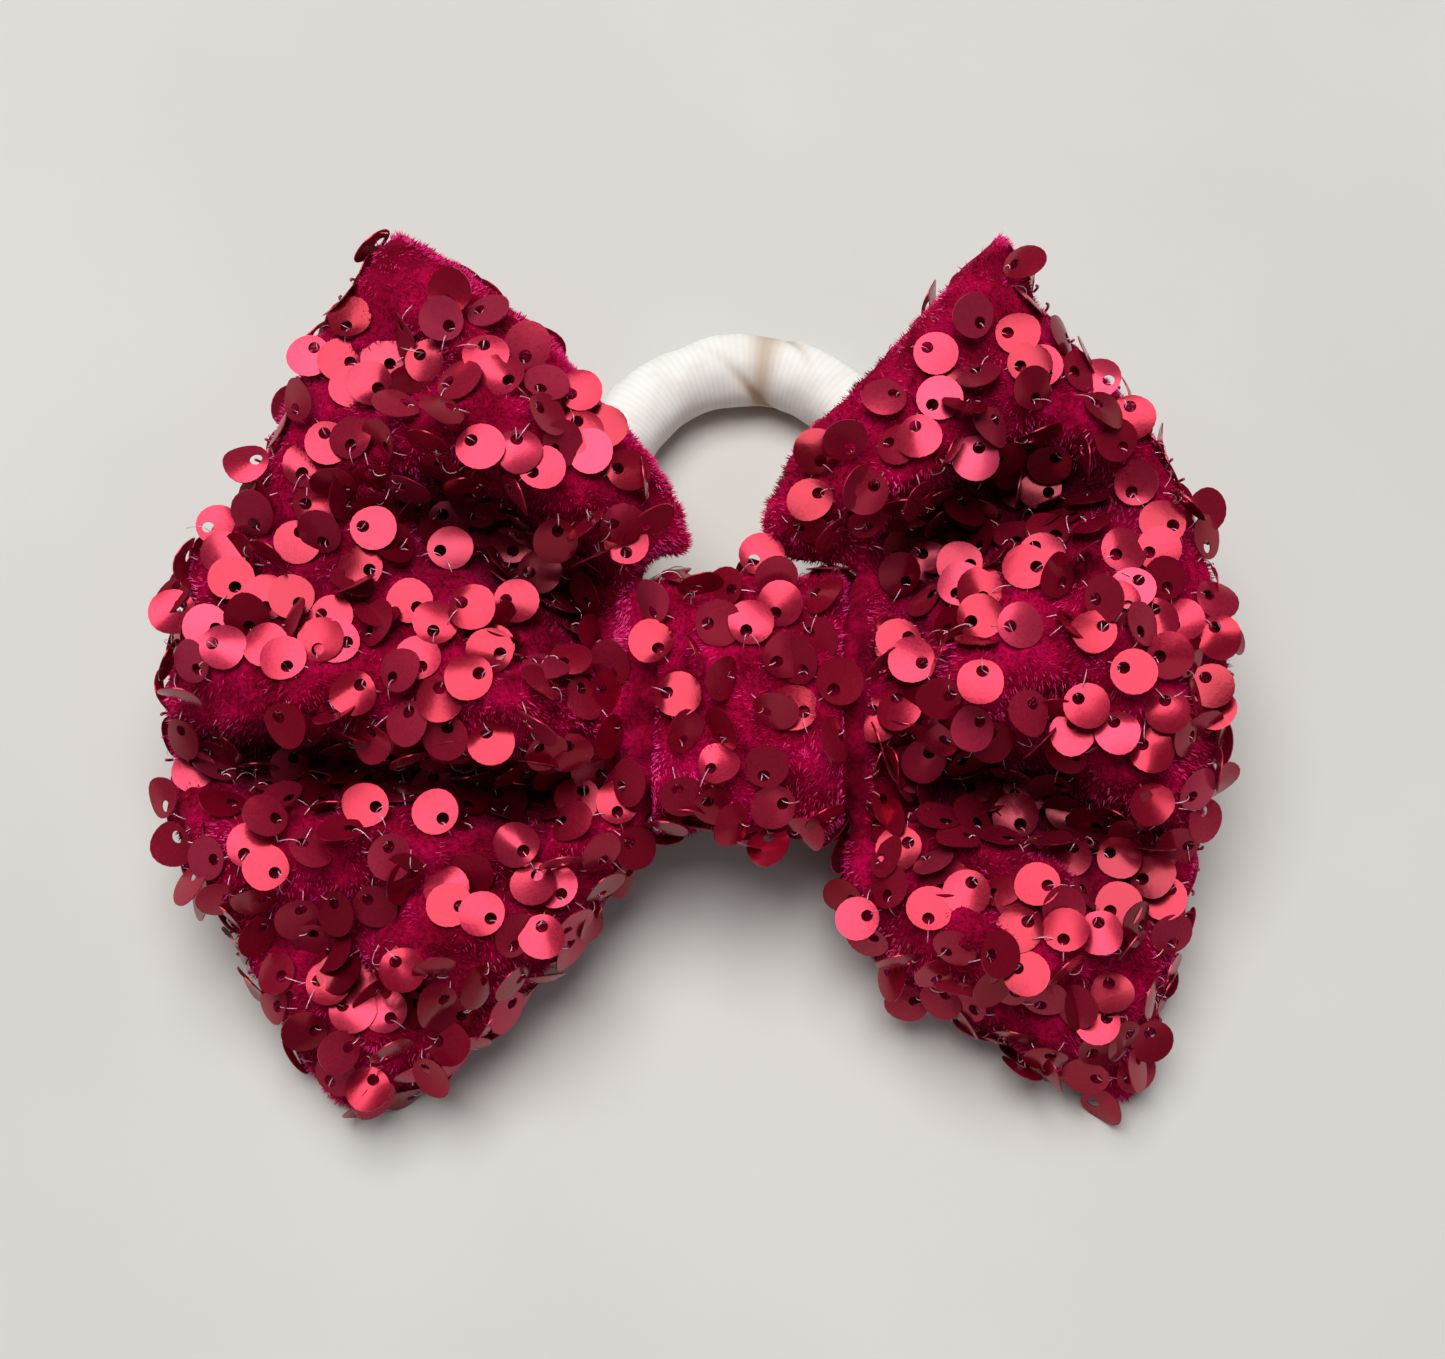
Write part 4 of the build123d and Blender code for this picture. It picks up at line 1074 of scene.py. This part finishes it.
def wrap_object():
    n, m = 260, 40
    mid = wrap_loop(0.30 + 0.82, n)
    tang = np.roll(mid, -1, 0) - np.roll(mid, 1, 0)
    tang /= np.linalg.norm(tang, axis=1)[:, None]
    nrm = np.c_[tang[:, 1], -tang[:, 0]]
    if (nrm * (mid - mid.mean(0))).sum() < 0:
        nrm = -nrm
    t = np.arange(n) / n
    w1, w2 = Waves(9.0, 301), Waves(4.0, 302)
    # a rounded band section: outer face with soft lengthwise gathers, rolled sides
    sec_u = np.r_[np.linspace(-1, 1, m), np.linspace(1, -1, m)]
    V = []
    for i in range(n):
        front = float(smooth((mid[i, 1] - 0.0) / 6.0))
        half = 10.2 - 0.9 * front * math.cos(mid[i, 0] / 13.0 * math.pi / 2) ** 2 + 0.25 * math.sin(t[i] * 25)
        for j, s in enumerate(sec_u):
            outer = j < m
            edge = math.sqrt(max(0.0, 1 - abs(s) ** 6))
            p = np.array([s * half, mid[i, 0], mid[i, 1]])
            off = (0.80 if outer else -0.72) * edge
            if outer:
                g = (0.62 * math.cos(s * 7.5 + 0.9 * math.sin(t[i] * 12.0)) + 0.34 * math.cos(s * 15 + 2 + t[i] * 9)) * edge
                off += g * 0.80 + 0.40 * float(w1(p)) * edge + 0.16 * float(w2(p)) * edge - 0.15
            V.append([p[0], mid[i, 0] + nrm[i, 0] * off, mid[i, 1] + nrm[i, 1] * off])
    V = np.array(V)
    under = np.maximum(0.06 - world(V)[:, 2] / MM, 0.0)
    V[:, 1] += under * ST
    V[:, 2] += under * CT
    F = []
    k = 2 * m
    for i in range(n):
        ii = (i + 1) % n
        for j in range(k):
            jj = (j + 1) % k
            F.append((i * k + j, ii * k + j, ii * k + jj, i * k + jj))
    ob = new_mesh("centre_wrap_velvet", world(V), np.array(F))
    import bmesh
    bm = bmesh.new()
    bm.from_mesh(ob.data)
    bmesh.ops.remove_doubles(bm, verts=bm.verts, dist=1e-6)
    bmesh.ops.recalc_face_normals(bm, faces=bm.faces)
    bm.to_mesh(ob.data)
    bm.free()
    ob.data.polygons.foreach_set("use_smooth", [True] * len(ob.data.polygons))
    return ob, mid, nrm


wrap, wmid, wnrm = wrap_object()
wrap.data.materials.append(VELVET)
rng = np.random.default_rng(77)


def outside_of_wrap(q, n):
    c = np.c_[np.zeros(len(q)), np.zeros(len(q)), np.full(len(q), -3.0)]
    out = (n * (q - c))[:, 1:].sum(1) > 0.35 * np.linalg.norm((q - c)[:, 1:], axis=1)
    return out & (np.abs(q[:, 0]) < 10.4)


pos, nor = scatter(wrap, 900, rng, lambda q, n: outside_of_wrap(q, n) & (q[:, 2] > -7.0) & (np.abs(q[:, 0]) < 9.3), batch=4)
keep = spread(pos, 3.3 * MM)
pos, nor = pos[keep], nor[keep]
print("centre sequins", len(pos))
keep = rng.random(len(pos)) < 0.85
pos, nor = pos[keep], nor[keep]
cseq, holes, x, y, z = sequin_cloud("centre_wrap_sequins", pos, nor, rng, lift=0.45, facing=0.26)
cthr = thread_cloud("centre_wrap_threads", pos, nor, holes, x, y, z, rng)
fpos, fnor = scatter(wrap, 13000, rng, lambda q, n: outside_of_wrap(q, n) & (world(q)[:, 2] > 0.0005), batch=4)
# painted highlight: the pile at the wrap's rolled side edges is coloured brighter pink
cpile = pile_cloud("centre_wrap_pile", fpos, fnor, rng, painted_highlight=0.45 * smooth((np.abs(flat_of(fpos)[:, 0]) - 8.3) / 1.4))
for ob, sl in ((wrap, "velvet"), (cseq, "sequins"), (cthr, "thread"), (cpile, "velvet")):
    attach(ob, "bow_centre")
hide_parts("centre_wrap", "waist_gathers")
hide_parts("centre_sequins")

# ---------------------------------------------------------------------------
# the hair tie
# ---------------------------------------------------------------------------
STRAIGHT, CORNER, HALF_W, LENGTH, DROP = 9.5, 6.5, 16.0, 40.1, 2.2
slope = math.asin(DROP / LENGTH)
hinge = np.array([0.0, 0.0, 0.0])
TIE_O = world([[0.0, TIE_V, TIE_W]])[0] / MM
TX = np.array([1.0, 0, 0])
TY = np.array([0.0, math.cos(slope), -math.sin(slope)])
TZ = np.array([0.0, math.sin(slope), math.cos(slope)])


def ring_path(n):
    pts = [np.array([[x, 0.0] for x in np.linspace(0, STRAIGHT, 20)])]
    a = np.linspace(-math.pi / 2, 0, 24)[1:]
    pts.append(np.c_[STRAIGHT + CORNER * np.cos(a), CORNER + CORNER * np.sin(a)])
    far = LENGTH - HALF_W
    pts.append(np.array([[HALF_W, y] for y in np.linspace(CORNER, far, 20)[1:]]))
    a = np.linspace(0, math.pi / 2, 60)[1:]
    pts.append(np.c_[HALF_W * np.cos(a), far + HALF_W * np.sin(a)])
    half = np.vstack(pts)
    full = np.vstack([half, (half * [-1, 1])[::-1][1:-1]])
    return resample(full, n, close=True)


def tie_object():
    n, m = 420, 96
    path = ring_path(n)
    tan = np.roll(path, -1, 0) - np.roll(path, 1, 0)
    tan /= np.linalg.norm(tan, axis=1)[:, None]
    out = np.c_[tan[:, 1], -tan[:, 0]]
    if (out * (path - path.mean(0))).sum() < 0:
        out = -out
    length = np.r_[0, np.cumsum(np.linalg.norm(np.diff(path, axis=0), axis=1))]
    total = length[-1] + np.linalg.norm(path[0] - path[-1])
    w1, w2 = Waves(12.0, 401), Waves(4.0, 402)
    ang = np.linspace(0, 2 * math.pi, m, endpoint=False)
    free = smooth((path[:, 1] - 9.0) / 6.0)
    V, along, around, fold = [], [], [], []
    for i in range(n):
        s = length[i]
        # distance from the tucked join at the far end
        j = s - total / 2 + 2.2
        neck = 0.18 * math.exp(-(j / 1.5) ** 2) * free[i]
        twist = 0.9 * math.exp(-(j / 7.0) ** 2) * free[i]
        for k in range(m):
            a = ang[k]
            p3 = np.array([path[i, 0], path[i, 1], 0.0])
            q = p3 + 4.4 * np.array([math.cos(a) * out[i, 0], math.cos(a) * out[i, 1], math.sin(a)])
            r = 4.4 - 0.06 - neck
            # creases that wind round the tube near the join
            cr = math.cos(2 * a + j * 0.55)
            r -= 0.35 * math.exp(-(j / 5.0) ** 2) * free[i] * max(0.0, cr) ** 6
            V.append((path[i, 0] + out[i, 0] * r * math.cos(a), path[i, 1] + out[i, 1] * r * math.cos(a), r * math.sin(a)))
            along.append(s)
            around.append(a / (2 * math.pi) + 0.02 * twist * j)
            # fold: the weight of the painted brown shade at the join and in the creases
            fold.append(min(1.0, 0.75 * math.exp(-(j / 1.6) ** 2) * free[i]
                            + 0.8 * math.exp(-(j / 4.2) ** 2) * free[i] * max(0.0, cr) ** 8))
    V = np.array(V)
    q = V.copy()
    free_v = np.repeat(free, m)
    rr = 0.10 * w1(q) * free_v + 0.05 * w2(q) * free_v
    cen = np.repeat(np.c_[path, np.zeros(n)], m, axis=0)
    d = V - cen
    d /= np.linalg.norm(d, axis=1)[:, None]
    V = V + d * (rr - 0.05 * free_v)[:, None]
    P = TIE_O + V[:, :1] * TX + V[:, 1:2] * TY + V[:, 2:3] * TZ
    P[:, 2] = np.maximum(P[:, 2], 0.04)
    i, j = np.meshgrid(np.arange(n), np.arange(m), indexing="ij")
    ii, jj = (i + 1) % n, (j + 1) % m
    F = np.stack([i * m + j, ii * m + j, ii * m + jj, i * m + jj], -1).reshape(-1, 4)
    ob = new_mesh("hair_tie_ring", P * MM, F)
    add_attr(ob, "along", along)
    add_attr(ob, "around", around)
    add_attr(ob, "fold", fold)
    uv = np.stack([np.stack([(i / n).ravel(), ((i + 1) / n).ravel(), ((i + 1) / n).ravel(), (i / n).ravel()], -1),
                   np.stack([(j / m).ravel(), (j / m).ravel(), ((j + 1) / m).ravel(), ((j + 1) / m).ravel()], -1)], -1)
    set_uv(ob, uv.reshape(-1, 2))
    import bmesh
    bm = bmesh.new()
    bm.from_mesh(ob.data)
    bmesh.ops.recalc_face_normals(bm, faces=bm.faces)
    bm.to_mesh(ob.data)
    bm.free()
    ob.data.polygons.foreach_set("use_smooth", [True] * len(ob.data.polygons))
    return ob


tie = tie_object()
tie.data.materials.append(KNIT)
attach(tie, "hair_tie")
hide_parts("hair_tie_cover", "hair_tie_elastic", "hair_tie_join")

# the remaining CAD pieces keep their shape and get their thread or cloth
for node, mat in (("waist_binding_thread", SEAM), ("wrap_end_flap", VELVET), ("wrap_stitches", SEAM)):
    ob = frame["nodes"][node]
    ob.data.materials.clear()
    ob.data.materials.append(mat)

# ---------------------------------------------------------------------------
# floor and light
# ---------------------------------------------------------------------------
floor = new_mesh("table", [(-3, -3, 0), (3, -3, 0), (3, 3, 0), (-3, 3, 0)], [(0, 1, 2, 3)])
floor.data.materials.append(FLOOR)

bpy.context.scene.view_settings.view_transform = "Standard"
scene_world = bpy.data.worlds.new("studio")
bpy.context.scene.world = scene_world
scene_world.use_nodes = True
bg = scene_world.node_tree.nodes["Background"]
bg.inputs["Color"].default_value = (0.92, 0.96, 1.0, 1.0)
bg.inputs["Strength"].default_value = 0.15
pale = scene_world.node_tree.nodes.new("ShaderNodeBackground")
pale.inputs["Color"].default_value = (0.80, 0.79, 0.77, 1.0)
pale.inputs["Strength"].default_value = 0.85
eye = scene_world.node_tree.nodes.new("ShaderNodeLightPath")
both = scene_world.node_tree.nodes.new("ShaderNodeMixShader")
scene_world.node_tree.links.new(eye.outputs["Is Camera Ray"], both.inputs[0])
scene_world.node_tree.links.new(bg.outputs[0], both.inputs[1])
scene_world.node_tree.links.new(pale.outputs[0], both.inputs[2])
scene_world.node_tree.links.new(both.outputs[0], scene_world.node_tree.nodes["World Output"].inputs["Surface"])


def area_light(name, direction, dist, size, power, color):
    data = bpy.data.lights.new(name, "AREA")
    data.shape = "DISK"
    data.size = size
    data.energy = power
    data.color = color
    ob = bpy.data.objects.new(name, data)
    bpy.context.scene.collection.objects.link(ob)
    d = Vector(direction).normalized()
    at = Vector(WAIST * MM) + d * dist
    ob.matrix_world = Matrix.Translation(at) @ d.to_track_quat("Z", "Y").to_matrix().to_4x4()
    return ob


area_light("key", KEY_DIR, 1.1, 0.86, 13.4, (1.0, 0.985, 0.965))
area_light("fill", (0.5, -0.9, 0.9), 1.3, 0.7, 0.9, (0.97, 0.98, 1.0))
